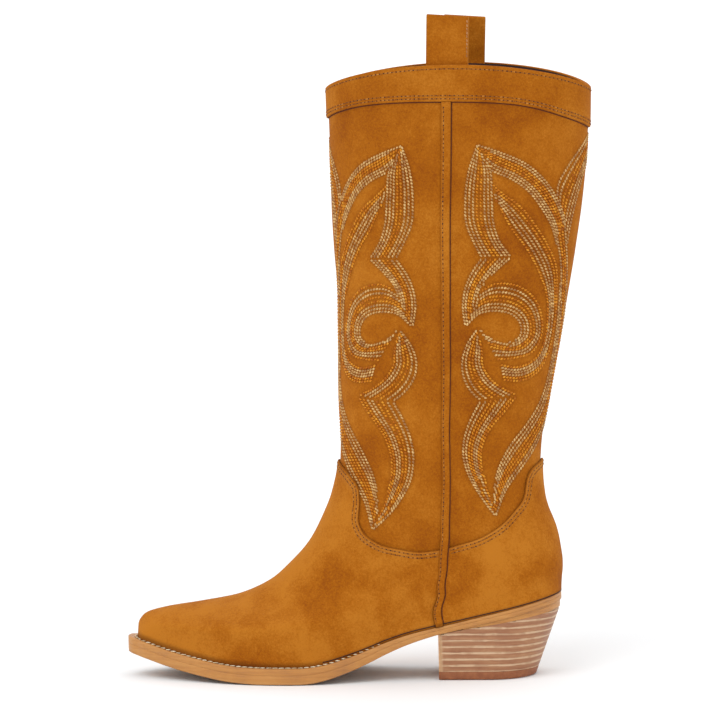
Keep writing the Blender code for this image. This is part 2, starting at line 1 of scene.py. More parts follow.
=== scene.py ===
"""Looks of the pull-on western boot: suede upper, stitched motif, welt, leather sole and stacked heel.

Lengths are in millimetres until a mesh is made. The upper follows the same skin S(v, w) as the CAD model:
v runs from the sole edge (0) to the rim (1), w runs round the boot from the back (-1) along the outer side
to the front (0) and along the inner side to the back (1). Every leather piece, seam and stitch is laid on
that skin at an offset, so each fine piece lies where the CAD piece that it stands for lies.
"""

import json
import math

import bpy
import numpy as np
from mathutils import Matrix, Vector
from mathutils.kdtree import KDTree


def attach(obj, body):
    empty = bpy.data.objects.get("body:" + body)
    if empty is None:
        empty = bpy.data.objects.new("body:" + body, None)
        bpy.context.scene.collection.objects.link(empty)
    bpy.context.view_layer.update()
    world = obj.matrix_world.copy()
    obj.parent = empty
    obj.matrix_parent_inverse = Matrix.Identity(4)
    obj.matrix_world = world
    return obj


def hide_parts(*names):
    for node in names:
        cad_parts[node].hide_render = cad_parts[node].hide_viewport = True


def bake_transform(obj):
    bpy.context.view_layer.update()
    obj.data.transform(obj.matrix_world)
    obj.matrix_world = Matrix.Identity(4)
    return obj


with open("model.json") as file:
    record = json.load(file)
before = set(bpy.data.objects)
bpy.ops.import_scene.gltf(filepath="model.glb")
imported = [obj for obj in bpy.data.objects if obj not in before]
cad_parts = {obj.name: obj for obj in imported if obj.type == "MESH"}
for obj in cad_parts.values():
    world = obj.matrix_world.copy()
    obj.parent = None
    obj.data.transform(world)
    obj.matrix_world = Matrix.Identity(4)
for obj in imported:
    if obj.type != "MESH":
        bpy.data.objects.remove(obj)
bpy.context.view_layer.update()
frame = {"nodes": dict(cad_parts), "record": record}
rng = np.random.default_rng(20)

MM = 0.001
SIDES = (("lateral", -1), ("medial", 1))
CENTRE_X = 0.7
CENTRE_Y = -0.445

# ---- Size: lines of the boot in side view, on its centre plane -------------------------------------------
# Ring stations of the skin: v, front point x and z, back point x and z.
FOOT_RINGS = [
    (0.00, -143.7, 26.2, 122.3, 52.0),
    (0.03, -143.3, 32.0, 122.5, 56.5),
    (0.06, -139.6, 37.3, 122.8, 61.0),
    (0.10, -127.5, 41.1, 123.2, 66.5),
    (0.15, -105.0, 44.6, 123.2, 72.0),
    (0.20, -81.5, 48.8, 122.8, 77.5),
    (0.25, -59.3, 58.3, 121.9, 84.0),
    (0.30, -44.6, 71.2, 120.2, 91.0),
    (0.34, -33.4, 84.0, 117.9, 97.5),
    (0.38, -24.8, 99.4, 115.3, 104.5),
    (0.42, -18.0, 115.8, 113.4, 113.5),
    (0.46, -14.0, 134.9, 112.4, 128.0),
    (0.50, -13.4, 154.0, 113.4, 145.5),
]
SHAFT_V = 0.50
RIM_FRONT_Z = 368.5
RIM_BACK_Z = 366.5
SHAFT_FRONT_X = [(154, -13.4), (173, -13.8), (205, -13.4), (236, -13.3), (268, -14.7), (299, -15.8),
                 (330, -16.2), (368.5, -16.8)]
SHAFT_BACK_X = [(145.5, 113.4), (171.5, 118.4), (203, 124.4), (234, 130.2), (265, 136.2), (296, 141.1),
                (327, 144.3), (346, 145.6), (366.5, 146.2)]
SCALLOP_RISE = 15.0
SCALLOP_FROM_V = 0.62
SCALLOP_FULL_V = 0.93
SCALLOP_POWER = 1.35
SHAFT_FROM_V = (0.44, 0.56)
LEG_FROM_V = (0.03, 0.46)
FOOT_BULGE = 0.055
FOOT_BULGE_TOP_V = 0.34
FEATHER_RISE = 0.3
SKIN_STEP = 1e-3

# Half widths of the foot at the sole edge, and of the leg.
PLAN_HALF_WIDTH = [(-144, 9.3), (-140, 11.5), (-135, 14.2), (-128, 18.0), (-118, 23.2), (-105, 29.3),
                   (-90, 35.2), (-75, 39.6), (-60, 42.2), (-45, 43.2), (-30, 42.0), (-12, 38.0), (8, 33.0),
                   (28, 29.8), (48, 28.8), (70, 29.3), (90, 29.8), (123, 29.8)]
INNER_SIDE_SHIFT = 10.0
ARCH_HOLLOW = 2.5
TOE_SWING = 2.5
LEG_HALF_WIDTH = [(0.00, 30.0), (0.30, 31.5), (0.42, 33.5), (0.50, 35.0), (0.62, 36.5), (0.75, 38.5),
                  (0.90, 40.8), (1.00, 41.5)]
FRONT_ROUNDING = [(0.00, 4), (0.03, 9), (0.06, 22), (0.10, 48), (0.15, 75), (0.20, 90), (0.25, 98),
                  (0.30, 94), (0.34, 87), (0.38, 79), (0.42, 71), (0.46, 65), (0.50, 63.4)]
BACK_ROUNDING = [(0.00, 30), (0.10, 34), (0.20, 40), (0.30, 48), (0.40, 56), (0.46, 61), (0.50, 63.4)]
SAG = [(0.00, 1.0), (0.03, 0.97), (0.06, 0.92), (0.10, 0.86), (0.15, 0.76), (0.20, 0.62), (0.25, 0.46),
       (0.30, 0.31), (0.34, 0.20), (0.38, 0.11), (0.42, 0.04), (0.46, 0.0), (1.0, 0.0)]

# Sole: underside and total edge thickness from toe to heel breast, then the sloping heel seat.
SOLE_UNDERSIDE = [(-150, 14.8), (-139, 12.2), (-125, 8.6), (-111, 5.6), (-97, 3.1), (-84, 1.2), (-71, 0.25),
                  (-62, 0.0), (-38, 0.0), (-31, 0.45), (-21, 2.3), (-8, 6.4), (4, 11.3), (16, 17.0),
                  (29, 22.4), (41, 26.4), (50, 28.9), (88, 35.6), (124, 42.4)]
EDGE_THICKNESS = [(-150, 10.0), (-40, 10.0), (-10, 9.2), (10, 7.9), (30, 6.1), (50, 4.8), (88, 7.2),
                  (124, 9.4)]
WELT_THICKNESS = [(-150, 4.2), (-20, 4.2), (20, 3.0), (50, 1.9), (124, 2.2)]
REAR_OUTSOLE = 2.9
WELT_OVERHANG = [(-150, 4.6), (-60, 4.0), (-30, 3.8), (10, 2.7), (40, 1.9), (124, 1.5)]
HEEL_OVERHANG = 1.4

HEEL_BREAST_X = 48.2
BREAST_COVER = 1.2
HEEL_BACK_X = [(0.0, 107.2), (5.0, 109.0), (42.4, 122.8)]
HEEL_HALF_WIDTH = [(0.0, 27.6), (5.0, 28.0), (44.0, 30.8)]
TOP_LIFT_HEIGHT = 5.0
LIFT_HEIGHT = 3.95
LIFT_COUNT = 9
NAIL_COUNT = 5

# Seams on the skin: u of the side seam at each v, then v of the other seams at each u (0 front, 1 back).
SIDE_SEAM = [(0.0, 0.655), (0.10, 0.642), (0.255, 0.580), (0.325, 0.562), (0.42, 0.547), (0.49, 0.541),
             (0.59, 0.526), (0.70, 0.508), (0.82, 0.498), (0.95, 0.496), (1.0, 0.496)]
VAMP_TOP = [(0.0, 0.462), (0.05, 0.460), (0.13, 0.453), (0.19, 0.443), (0.233, 0.431), (0.252, 0.412),
            (0.270, 0.385), (0.29, 0.372), (0.312, 0.362), (0.345, 0.352), (0.38, 0.343), (0.44, 0.333),
            (0.50, 0.323), (0.57, 0.318)]
COUNTER_TOP = [(0.55, 0.318), (0.57, 0.320), (0.63, 0.326), (0.69, 0.345), (0.765, 0.388), (0.813, 0.420),
               (0.835, 0.451), (0.868, 0.465), (0.925, 0.473), (1.0, 0.478)]
BAND_LOW = [(0.0, 0.956), (0.2, 0.955), (0.5, 0.948), (0.65, 0.949), (0.84, 0.944), (1.0, 0.943)]
JOINT_AHEAD = 0.010
JOINT_GAP = 0.0007
STRIP_WIDTH = 0.0245
PANEL_FRONT_LOW = [(0.0, 0.425), (0.1, 0.41), (0.22, 0.365), (0.35, 0.315), (0.57, 0.283)]
PANEL_BACK_LOW = [(0.55, 0.283), (0.7, 0.305), (0.8, 0.36), (0.9, 0.415), (1.0, 0.43)]

# Leather layers, as (inner, outer) offsets from the skin.
OVERLAY = (0.22, 1.5)
BAND = (0.1, 1.3)
PANEL = (-1.5, -0.25)
STRIP = (0.15, 1.2)
STRIP_ON_FOOT = (1.8, 2.7)

# Pull tabs: u of each tab's middle, and the strap's size.
TAB_U = {"lateral": 0.493, "medial": 0.511}
TAB_HALF_WIDTH = 13.0
TAB_ROOT = (-4.5, -1.95)
TAB_ROOT_FROM_V = 0.94
TAB_TOP_Z = 413.4
TAB_AXIS_ABOVE_RIM = 1.7
TAB_BASE_RADIUS = 1.35
TAB_TOP_RADIUS = 1.9


def smooth(keys):
    """A smooth curve through (position, value) pairs that never overshoots them."""
    at = np.array([k[0] for k in keys], float)
    value = np.array([k[1] for k in keys], float)
    step = np.diff(at)
    slope = np.diff(value) / step
    tangent = np.zeros(len(at))
    tangent[0] = slope[0]
    tangent[-1] = slope[-1]
    for i in range(1, len(at) - 1):
        if slope[i - 1] * slope[i] > 0:
            before = 2 * step[i] + step[i - 1]
            after = step[i] + 2 * step[i - 1]
            tangent[i] = (before + after) / (before / slope[i - 1] + after / slope[i])

    def curve(t):
        t = np.clip(t, at[0], at[-1])
        i = np.clip(np.searchsorted(at, t, side="right") - 1, 0, len(step) - 1)
        s = (t - at[i]) / step[i]
        lead = (1 + 2 * s) * (1 - s) ** 2 * value[i] + s * (1 - s) ** 2 * step[i] * tangent[i]
        return lead + s * s * (3 - 2 * s) * value[i + 1] + s * s * (s - 1) * step[i] * tangent[i + 1]

    return curve


def ease(low, high, t):
    s = np.clip((t - low) / (high - low), 0.0, 1.0)
    return s * s * (3 - 2 * s)


def shaft_v(z, low, high):
    return SHAFT_V + (1 - SHAFT_V) * (z - low) / (high - low)


FRONT_LOW_Z = FOOT_RINGS[-1][2]
BACK_LOW_Z = FOOT_RINGS[-1][4]
front_x = smooth([r[:2] for r in FOOT_RINGS]
                 + [(shaft_v(z, FRONT_LOW_Z, RIM_FRONT_Z), x) for z, x in SHAFT_FRONT_X[1:]])
front_z = smooth([(r[0], r[2]) for r in FOOT_RINGS]
                 + [(0.75, (FRONT_LOW_Z + RIM_FRONT_Z) / 2), (1, RIM_FRONT_Z)])
back_x = smooth([(r[0], r[3]) for r in FOOT_RINGS]
                + [(shaft_v(z, BACK_LOW_Z, RIM_BACK_Z), x) for z, x in SHAFT_BACK_X[1:]])
back_z = smooth([(r[0], r[4]) for r in FOOT_RINGS]
                + [(0.75, (BACK_LOW_Z + RIM_BACK_Z) / 2), (1, RIM_BACK_Z)])
plan_width = smooth(PLAN_HALF_WIDTH)
leg_width = smooth(LEG_HALF_WIDTH)
front_round = smooth(FRONT_ROUNDING)
back_round = smooth(BACK_ROUNDING)
sag = smooth(SAG)
underside = smooth(SOLE_UNDERSIDE)
edge_thickness = smooth(EDGE_THICKNESS)
welt_thickness = smooth(WELT_THICKNESS)
overhang = smooth(WELT_OVERHANG)


def welt_top(x):
    return underside(x) + edge_thickness(x)


def feather(x):
    """Height of the upper's lower edge above the floor."""
    return welt_top(x) + FEATHER_RISE


def foot_width(x, side):
    """Half width of the upper at the sole edge. Side is -1 on the outer side and 1 on the inner side."""
    inner = plan_width(x + INNER_SIDE_SHIFT * (1 - ease(-20, 40, x)) * ease(-144, -110, x))
    inner = inner - ARCH_HOLLOW * ease(-25, 10, x) * (1 - ease(25, 60, x))
    return np.where(side < 0, plan_width(x), inner)


def swing(x):
    return TOE_SWING * (1 - ease(-140, -20, x))


def rounding(t):
    t = np.clip(t, 0.0, 1.0)
    return np.sqrt(np.maximum(1 - (1 - t) ** 2, 0.0))


def skin(v, w):
    """Points of the skin, as an array of shape (..., 3)."""
    v, w = np.broadcast_arrays(np.asarray(v, float), np.asarray(w, float))
    w = (w + 1) % 2 - 1
    u = np.abs(w)
    side = np.where(w < 0, -1.0, 1.0)
    first, last = front_x(v), back_x(v)
    along = (1 - np.cos(math.pi * u)) / 2
    x = first + (last - first) * along
    half = (last - first) / 2
    shaft = ease(*SHAFT_FROM_V, v)
    front_length = front_round(v) * (1 - shaft) + half * shaft
    back_length = back_round(v) * (1 - shaft) + half * shaft
    leg = ease(*LEG_FROM_V, v)
    bulge = 1 + FOOT_BULGE * np.sin(math.pi * np.clip(v / FOOT_BULGE_TOP_V, 0, 1))
    width = foot_width(x, side) * bulge * (1 - leg) + leg_width(v) * leg
    y = side * width * rounding((x - first) / front_length) * rounding((last - x) / back_length)
    y = y + swing(x) * (1 - leg)
    low_x = front_x(0.0) + (back_x(0.0) - front_x(0.0)) * along
    low_chord = feather(front_x(0.0)) + (feather(back_x(0.0)) - feather(front_x(0.0))) * along
    z = front_z(v) + (back_z(v) - front_z(v)) * along
    z = z + sag(v) * (feather(low_x) - low_chord)
    rise = SCALLOP_RISE * ease(SCALLOP_FROM_V, SCALLOP_FULL_V, v)
    z = z + rise * np.sin(math.pi * u) ** SCALLOP_POWER
    return np.stack([x, y, z], -1)


def skin_steps(v, w):
    """Small steps on the skin up the boot and round it, and how much v changes in the first."""
    above, below = np.minimum(v + SKIN_STEP, 1.0), np.maximum(v - SKIN_STEP, 0.0)
    return skin(above, w) - skin(below, w), skin(v, w + SKIN_STEP) - skin(v, w - SKIN_STEP), above - below


def skin_normal(v, w):
    up, across, _ = skin_steps(v, w)
    normal = np.cross(up, across)
    return normal / np.linalg.norm(normal, axis=-1, keepdims=True)


side_seam = smooth(SIDE_SEAM)
vamp_top = smooth(VAMP_TOP)
counter_top = smooth(COUNTER_TOP)
band_low = smooth(BAND_LOW)
panel_front_low = smooth(PANEL_FRONT_LOW)
panel_back_low = smooth(PANEL_BACK_LOW)


def front_w(s, v):
    """w of a piece in front of the side seams, for s from -1 (outer seam) to 1 (inner seam)."""
    return s * (side_seam(v) - JOINT_AHEAD - JOINT_GAP)


def back_w(s, v):
    """w of a piece behind the side seams, for s from -1 (outer seam) to 1 (inner seam)."""
    u = 1 - np.abs(s) * (1 - side_seam(v) + JOINT_AHEAD - JOINT_GAP)
    return np.where(s < 0, -u, u)


# ---- Laying things on the skin ----------------------------------------------------------------------------
SHAFT_MM_PER_V = 440.0
SHAFT_MM_PER_W = 190.0
WAVER = 0.16


def waver(v, w):
    """Small uneven swells of soft leather, in millimetres, fading out at the sole and at the rim."""
    held = ease(0.02, 0.12, v) * (1 - ease(0.90, 0.97, v))
    turn = math.pi * w
    swell = np.sin(2 * turn + 9.0 * v + 0.6) + 0.7 * np.sin(5 * turn - 21.0 * v)
    swell = swell + 0.6 * np.sin(3 * turn + 34.0 * v)
    return WAVER * held * swell


def laid(v, w, offset):
    """Points at an offset outside the skin."""
    base = skin(v, w)
    return base + skin_normal(v, w) * (np.asarray(offset, float) + waver(v, w))[..., None]


def in_frame(points):
    return (np.asarray(points, float) + (CENTRE_X, CENTRE_Y, 0.0)) * MM


def beside(v, w, distance):
    """A path on the skin moved sideways by a distance, to the left of its direction seen from outside."""
    up, round_it, up_step = skin_steps(v, w)
    up, round_it = up / up_step[..., None], round_it / (2 * SKIN_STEP)
    run = np.gradient(skin(v, w), axis=0)
    run /= np.linalg.norm(run, axis=-1, keepdims=True)
    left = np.cross(skin_normal(v, w), run)
    a, b, c = (up * up).sum(-1), (up * round_it).sum(-1), (round_it * round_it).sum(-1)
    p, q = (left * up).sum(-1), (left * round_it).sum(-1)
    area = a * c - b * b
    return v + distance * (c * p - b * q) / area, w + distance * (a * q - b * p) / area


def spaced(points, pitch, *others):
    """Others, read at equal steps of length along the points, with the places in the middle of each step."""
    length = np.concatenate([[0.0], np.cumsum(np.linalg.norm(np.diff(points, axis=0), axis=1))])
    count = max(1, int(round(length[-1] / pitch)))
    at = (np.arange(count) + 0.5) * length[-1] / count
    return [np.interp(at, length, other) for other in others]


# ---- Meshes -----------------------------------------------------------------------------------------------
def piece(name, points, faces, finish, body="boot", stands_for=(), smooth_faces=True):
    """A visible piece from points in millimetres."""
    mesh = bpy.data.meshes.new(name)
    mesh.from_pydata(in_frame(points).tolist(), [], faces)
    mesh.validate()
    mesh.polygons.foreach_set("use_smooth", [smooth_faces] * len(mesh.polygons))
    mesh.materials.append(finish)
    mesh.update()
    obj = bpy.data.objects.new(name, mesh)
    bpy.context.scene.collection.objects.link(obj)
    if stands_for:
        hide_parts(*stands_for)
    if body:
        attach(obj, body)
    return obj


def shade(obj, values):
    """How much darker (above 0, painted shade) or paler (below 0) each point is than its leather."""
    made = obj.data.attributes.new("shade", "FLOAT", "POINT")
    made.data.foreach_set("value", np.asarray(values, np.float32).reshape(-1))


def tube_faces(sections, around, closed_run=False, caps=True):
    """Quads of a body swept through sections of equal size."""
    faces = []
    for i in range(sections if closed_run else sections - 1):
        following = (i + 1) % sections
        for j in range(around):
            k = (j + 1) % around
            faces.append((i * around + j, i * around + k, following * around + k, following * around + j))
    if caps and not closed_run:
        faces.append(tuple(range(around - 1, -1, -1)))
        faces.append(tuple(range((sections - 1) * around, sections * around)))
    return faces


def shell_faces(rows, columns):
    """Quads of a closed shell over two grids of points, the outer one first, facing out."""
    i, j = np.meshgrid(np.arange(rows - 1), np.arange(columns - 1), indexing="ij")
    a = (i * columns + j).ravel()
    outer = np.stack([a, a + columns, a + columns + 1, a + 1], -1)
    inner = outer[:, ::-1] + rows * columns
    rim = []
    last = (rows - 1) * columns
    other = rows * columns
    for j in range(columns - 1):
        rim.append((j, j + 1, other + j + 1, other + j))
        rim.append((last + j + 1, last + j, other + last + j, other + last + j + 1))
    for i in range(rows - 1):
        a, b = i * columns, (i + 1) * columns
        rim.append((b, a, other + a, other + b))
        a, b = a + columns - 1, b + columns - 1
        rim.append((a, b, other + b, other + a))
    return outer.tolist() + inner.tolist() + rim


EDGE_ROUND = 0.9
EDGE_STEPS = np.array([0.0, 0.12, 0.35, 0.7, 1.2, 2.0])
EDGE_DEPTH = 0.75
EDGE_SHADE = 0.45
EDGE_SHADE_WIDTH = 1.0
SOLE_LINE_SHADE = 0.5
SOLE_LINE_V = 0.012
SOLE_TUCK = 0.25
PALE_TOP_RANGE = (3.5, 6.0)
FAR = 99.0


def edged(low, high, per_unit, step):
    """Places from low to high, crowded near both ends so that the edges can be rounded."""
    rim = EDGE_STEPS / per_unit
    inner = np.linspace(low + rim[-1], high - rim[-1], max(3, int((high - low) * per_unit / step)))
    return np.concatenate([low + rim[:-1], inner, (high - rim[:-1])[::-1]])


def roll(distance, depth):
    """How far an edge drops within the rounded border of a leather piece."""
    t = np.clip(1 - distance / EDGE_ROUND, 0.0, 1.0)
    return depth * (1 - np.sqrt(np.maximum(1 - t * t, 0.0)))


def layered(v, w, outer, inner):
    """Points of an outer and an inner grid, whose lowest row is tucked in behind the sole's edge."""
    grids = []
    for offset in (outer, inner):
        grid = laid(v, w, offset)
        grid[..., 2] = np.where(v < 1e-6, feather(grid[..., 0]) - SOLE_TUCK, grid[..., 2])
        grids.append(grid.reshape(-1, 3))
    return np.concatenate(grids)


def sole_line(v):
    """The shadow where the upper meets the sole."""
    return SOLE_LINE_SHADE * np.clip(1 - v / SOLE_LINE_V, 0, 1)


def leather(name, across, low, high, layer, finish, step=(1.6, 1.8), round_low=True, pale_top=0.0):
    """A leather piece on the skin, with rounded edges: across gives w, low and high give v for each u."""
    per_s = SHAFT_MM_PER_W / 2
    s = edged(-1.0, 1.0, per_s, step[0])
    v_low, v_high = settled(across, low, s), settled(across, high, s)
    height = float(np.median(v_high - v_low)) * SHAFT_MM_PER_V
    r = edged(0.0, 1.0, height, step[1])[:, None]
    v = v_low + (v_high - v_low) * r
    w = across(s, v)
    inner, outer = layer
    depth = EDGE_DEPTH * (outer - inner)
    from_low = r * height * np.ones_like(v)
    from_high = (1 - r) * height * np.ones_like(v)
    from_first = (s + 1.0) * per_s * np.ones_like(v)
    from_last = (1.0 - s) * per_s * np.ones_like(v)
    drop = np.zeros_like(v)
    edge = np.full(v.shape, FAR)
    for distance in (from_low, from_high, from_first, from_last)[0 if round_low else 1:]:
        drop = np.maximum(drop, roll(distance, depth))
        edge = np.minimum(edge, distance)
    obj = piece(name, layered(v, w, outer - drop, inner), shell_faces(*v.shape), finish, stands_for=(name,))
    # Painted shade along the piece's edges and the painted shadow where it meets the sole; pale_top makes
    # the leather paler along its top edge.
    dark = EDGE_SHADE * np.clip(1 - edge / EDGE_SHADE_WIDTH, 0, 1) + sole_line(v)
    dark = dark - pale_top * (1 - ease(*PALE_TOP_RANGE, from_high)) * (edge > EDGE_ROUND)
    shade(obj, np.concatenate([dark.ravel(), dark.ravel()]))
    return obj, (v, w)


def settled(across, seam, s):
    """v of a seam given by u, along the columns s, whose own u depends a little on v."""
    if not callable(seam):
        return np.full(len(s), float(seam))
    v = np.full(len(s), 0.4)
    for _ in range(30):
        v = seam(np.abs(across(s, v)))
    return v


# ---- Materials --------------------------------------------------------------------------------------------
def colour(red, green, blue):
    """A linear colour from display values out of 255."""
    def linear(value):
        value = value / 255
        return value / 12.92 if value <= 0.04045 else ((value + 0.055) / 1.055) ** 2.4

    return (linear(red), linear(green), linear(blue), 1.0)


class Finish:
    """A material in the making: short calls that add one node each and return its output."""

    def __init__(self, name, **uniform):
        self.material = bpy.data.materials.new(name)
        self.material.use_nodes = True
        self.nodes = self.material.node_tree.nodes
        self.links = self.material.node_tree.links
        self.shader = self.nodes["Principled BSDF"]
        for socket, value in uniform.items():
            self.shader.inputs[socket.replace("_", " ")].default_value = value
        self.place = self.node("TexCoord").outputs["Object"]

    def set(self, node, socket, value):
        if isinstance(value, bpy.types.NodeSocket):
            self.links.new(value, node.inputs[socket])
        else:
            node.inputs[socket].default_value = value

    def node(self, kind, inputs=None, **settings):
        node = self.nodes.new("ShaderNode" + kind)
        for setting, value in settings.items():
            setattr(node, setting, value)
        for socket, value in (inputs or {}).items():
            self.set(node, socket, value)
        return node

    def stretched(self, scale, turn=(0.0, 0.0, 0.0)):
        inputs = {"Vector": self.place, "Scale": scale, "Rotation": turn}
        return self.node("Mapping", inputs).outputs["Vector"]

    def noise(self, scale, detail=3.0, roughness=0.5, distortion=0.0, place=None):
        return self.node("TexNoise", {"Vector": place or self.place, "Scale": scale, "Detail": detail,
                                      "Roughness": roughness, "Distortion": distortion}).outputs["Fac"]

    def cells(self, scale):
        return self.node("TexVoronoi", {"Vector": self.place, "Scale": scale}).outputs["Distance"]

    def ramp(self, value, *stops):
        node = self.node("ValToRGB", {"Fac": value})
        bar = node.color_ramp.elements
        while len(bar) < len(stops):
            bar.new(0.5)
        for element, (position, tone) in zip(bar, stops):
            element.position = position
            element.color = tone
        return node.outputs["Color"]

    def mix(self, factor, first, second):
        return self.node("Mix", {0: factor, 6: first, 7: second}, data_type="RGBA").outputs[2]

    def maths(self, operation, first, second=0.0, third=0.0, clamp=False):
        return self.node("Math", {0: first, 1: second, 2: third}, operation=operation,
                         use_clamp=clamp).outputs[0]

    def around(self, noise, reach, tone):
        """A tone that goes up and down with a noise."""
        return self.maths("MULTIPLY_ADD", self.maths("SUBTRACT", noise, 0.5), reach, tone)

    def band(self, value, low, high, to_low=0.0, to_high=1.0):
        return self.node("MapRange", {"Value": value, "From Min": low, "From Max": high, "To Min": to_low,
                                      "To Max": to_high}, interpolation_type="SMOOTHSTEP").outputs["Result"]

    def attribute(self, name):
        return self.node("Attribute", attribute_name=name).outputs["Fac"]

    def coordinates(self):
        return self.node("SeparateXYZ", {0: self.place}).outputs

    def bump(self, value, strength, distance, under=None):
        inputs = {"Strength": strength, "Distance": distance, "Height": value}
        if under:
            inputs["Normal"] = under
        return self.node("Bump", inputs).outputs["Normal"]

    def finish(self, base, roughness=None, normal=None):
        for socket, value in (("Base Color", base), ("Roughness", roughness), ("Normal", normal)):
            if value is not None:
                self.set(self.shader, socket, value)
        return self.material


BLACK = (0.0, 0.0, 0.0, 1.0)
SUEDE = {"dark": colour(138, 70, 5), "main": colour(161, 90, 9), "pale": colour(182, 112, 30)}
PALE_CUT = (HEEL_BREAST_X + CENTRE_X + 1.6, HEEL_BREAST_X + CENTRE_X + 3.4)


def suede(name, tint=0.0, cloudy=1.0):
    """Brushed suede: cloudy patches where the nap lies one way or the other, over a fine fibrous nap."""
    made = Finish(name, Sheen_Weight=0.07, Sheen_Roughness=0.5, Sheen_Tint=colour(255, 196, 120),
                  Specular_IOR_Level=0.12)
    clouds = made.noise(21.0, 3.0, 0.55, 0.3)
    brushed = made.noise(64.0, 4.0, 0.6, 0.5, made.stretched((1.0, 1.0, 0.8), (0.0, 0.5, 0.0)))
    fleck = made.noise(760.0, 3.0, 0.75)
    nap = made.noise(2300.0, 2.0, 0.6)
    tone = made.around(clouds, 0.70 * cloudy, 0.5 + tint)
    tone = made.around(brushed, 0.36 * cloudy, tone)
    tone = made.around(fleck, 0.62, tone)
    tone = made.around(nap, 0.36, tone)
    base = made.ramp(tone, (0.30, SUEDE["dark"]), (0.50, SUEDE["main"]), (0.72, SUEDE["pale"]))
    # The shade attribute: above 0 it mixes in a dark brown of painted shade, below 0 a paler brown.
    shade_and_paleness = made.attribute("shade")
    darker = made.maths("MAXIMUM", shade_and_paleness, 0.0, clamp=True)
    paler = made.maths("MULTIPLY", shade_and_paleness, -1.0, clamp=True)
    base = made.mix(darker, base, colour(66, 28, 4))
    base = made.mix(paler, base, colour(186, 128, 60))
    grain = made.bump(nap, 0.45, 0.0003)
    grain = made.bump(made.noise(520.0, 4.0, 0.7), 0.35, 0.0007, grain)
    grain = made.bump(brushed, 0.12, 0.002, grain)
    return made.finish(base, made.band(fleck, 0.3, 0.7, 0.85, 0.97), grain)


def thread(name, light, middle, deep, shine=0.5):
    """Twisted sewing thread, lighter and darker from stitch to stitch."""
    made = Finish(name, Specular_IOR_Level=0.2)
    lot = made.noise(330.0, 2.0, 0.5)
    base = made.ramp(lot, (0.34, deep), (0.50, middle), (0.64, light))
    ply = made.noise(1500.0, 1.0, 0.5, 0.0, made.stretched((1.0, 1.0, 2.4), (0.6, 0.4, 0.0)))
    # Painted shade in the grooves between the plies of the twist.
    base = made.mix(made.band(ply, 0.42, 0.60, 0.35, 0.0), base, BLACK)
    return made.finish(base, shine, made.bump(ply, 0.5, 0.0003))


def dark_lining(name):
    """Smooth dark brown lining leather with a fine pebbled grain."""
    made = Finish(name, Specular_IOR_Level=0.4)
    patches = made.noise(30.0, 4.0)
    base = made.ramp(patches, (0.35, colour(34, 12, 10)), (0.65, colour(66, 30, 22)))
    pebble = made.cells(900.0)
    return made.finish(base, made.band(patches, 0.3, 0.7, 0.5, 0.65), made.bump(pebble, 0.35, 0.0003))


def sole_leather(name, main, pale, dark, fibre=620.0):
    """The cut edge of thick leather, with fibres along the sole, polished with wax."""
    made = Finish(name, Specular_IOR_Level=0.4, Coat_Weight=0.12, Coat_Roughness=0.35)
    run = made.noise(1.0, 4.0, 0.6, 0.3, made.stretched((26.0, 26.0, fibre)))
    patches = made.noise(46.0, 4.0, 0.6, 0.5)
    fine = made.noise(900.0, 2.0, 0.6)
    tone = made.maths("MULTIPLY_ADD", run, 0.5, made.maths("MULTIPLY", patches, 0.5))
    base = made.ramp(tone, (0.34, dark), (0.50, main), (0.66, pale))
    base = made.mix(made.band(fine, 0.60, 0.75, 0.0, 0.25), base, dark)
    grain = made.bump(run, 0.22, 0.0006)
    return made.finish(base, made.band(patches, 0.3, 0.7, 0.42, 0.58), made.bump(fine, 0.12, 0.0003, grain))


def stacked_leather(name):
    """The stacked heel: brown layers with a pale line of fresh cut leather at each joint."""
    made = Finish(name, Specular_IOR_Level=0.4, Coat_Weight=0.10, Coat_Roughness=0.4)
    run = made.noise(1.0, 4.0, 0.65, 0.4, made.stretched((34.0, 34.0, 700.0)))
    patches = made.noise(60.0, 4.0, 0.6, 0.6)
    tone = made.maths("MULTIPLY_ADD", run, 0.55, made.maths("MULTIPLY", patches, 0.45))
    base = made.ramp(tone, (0.34, colour(138, 88, 58)), (0.50, colour(158, 108, 74)),
                     (0.66, colour(176, 130, 92)))
    level = made.coordinates()[2]
    layer = made.maths("DIVIDE", made.maths("SUBTRACT", level, TOP_LIFT_HEIGHT * MM), LIFT_HEIGHT * MM)
    sway = made.maths("MULTIPLY", made.maths("SUBTRACT", made.noise(50.0, 2.0), 0.5), 0.22)
    near = made.maths("PINGPONG", made.maths("ADD", layer, sway), 0.5)
    wide = made.band(made.noise(90.0, 3.0, 0.6), 0.35, 0.65, 0.16, 0.27)
    line = made.maths("SUBTRACT", 1.0, made.band(near, made.maths("MULTIPLY", wide, 0.25), wide))
    faded = made.maths("MULTIPLY", line, made.band(made.noise(120.0, 3.0), 0.35, 0.55, 0.55, 1.0))
    base = made.mix(faded, base, colour(206, 174, 140))
    front = made.band(made.coordinates()[0], PALE_CUT[0] * MM, PALE_CUT[1] * MM, 0.75, 0.0)
    base = made.mix(front, base, colour(204, 164, 124))
    grain = made.bump(run, 0.25, 0.0005)
    return made.finish(base, made.band(patches, 0.3, 0.7, 0.45, 0.62), grain)


def plain(name, dark, pale, scale, rough, metallic=0.0, grain=0.3, depth=0.0003):
    """Board, cork, rubber or metal, and dark pieces of painted shadow: two tones, a grain and an uneven
    shine.
    """
    made = Finish(name, Metallic=metallic)
    patches = made.noise(scale, 5.0, 0.65)
    base = made.ramp(patches, (0.35, dark), (0.65, pale))
    fine = made.noise(scale * 9.0, 3.0, 0.6)
    return made.finish(base, made.band(fine, 0.3, 0.7, rough - 0.08, rough + 0.08),
                       made.bump(fine, grain, depth))


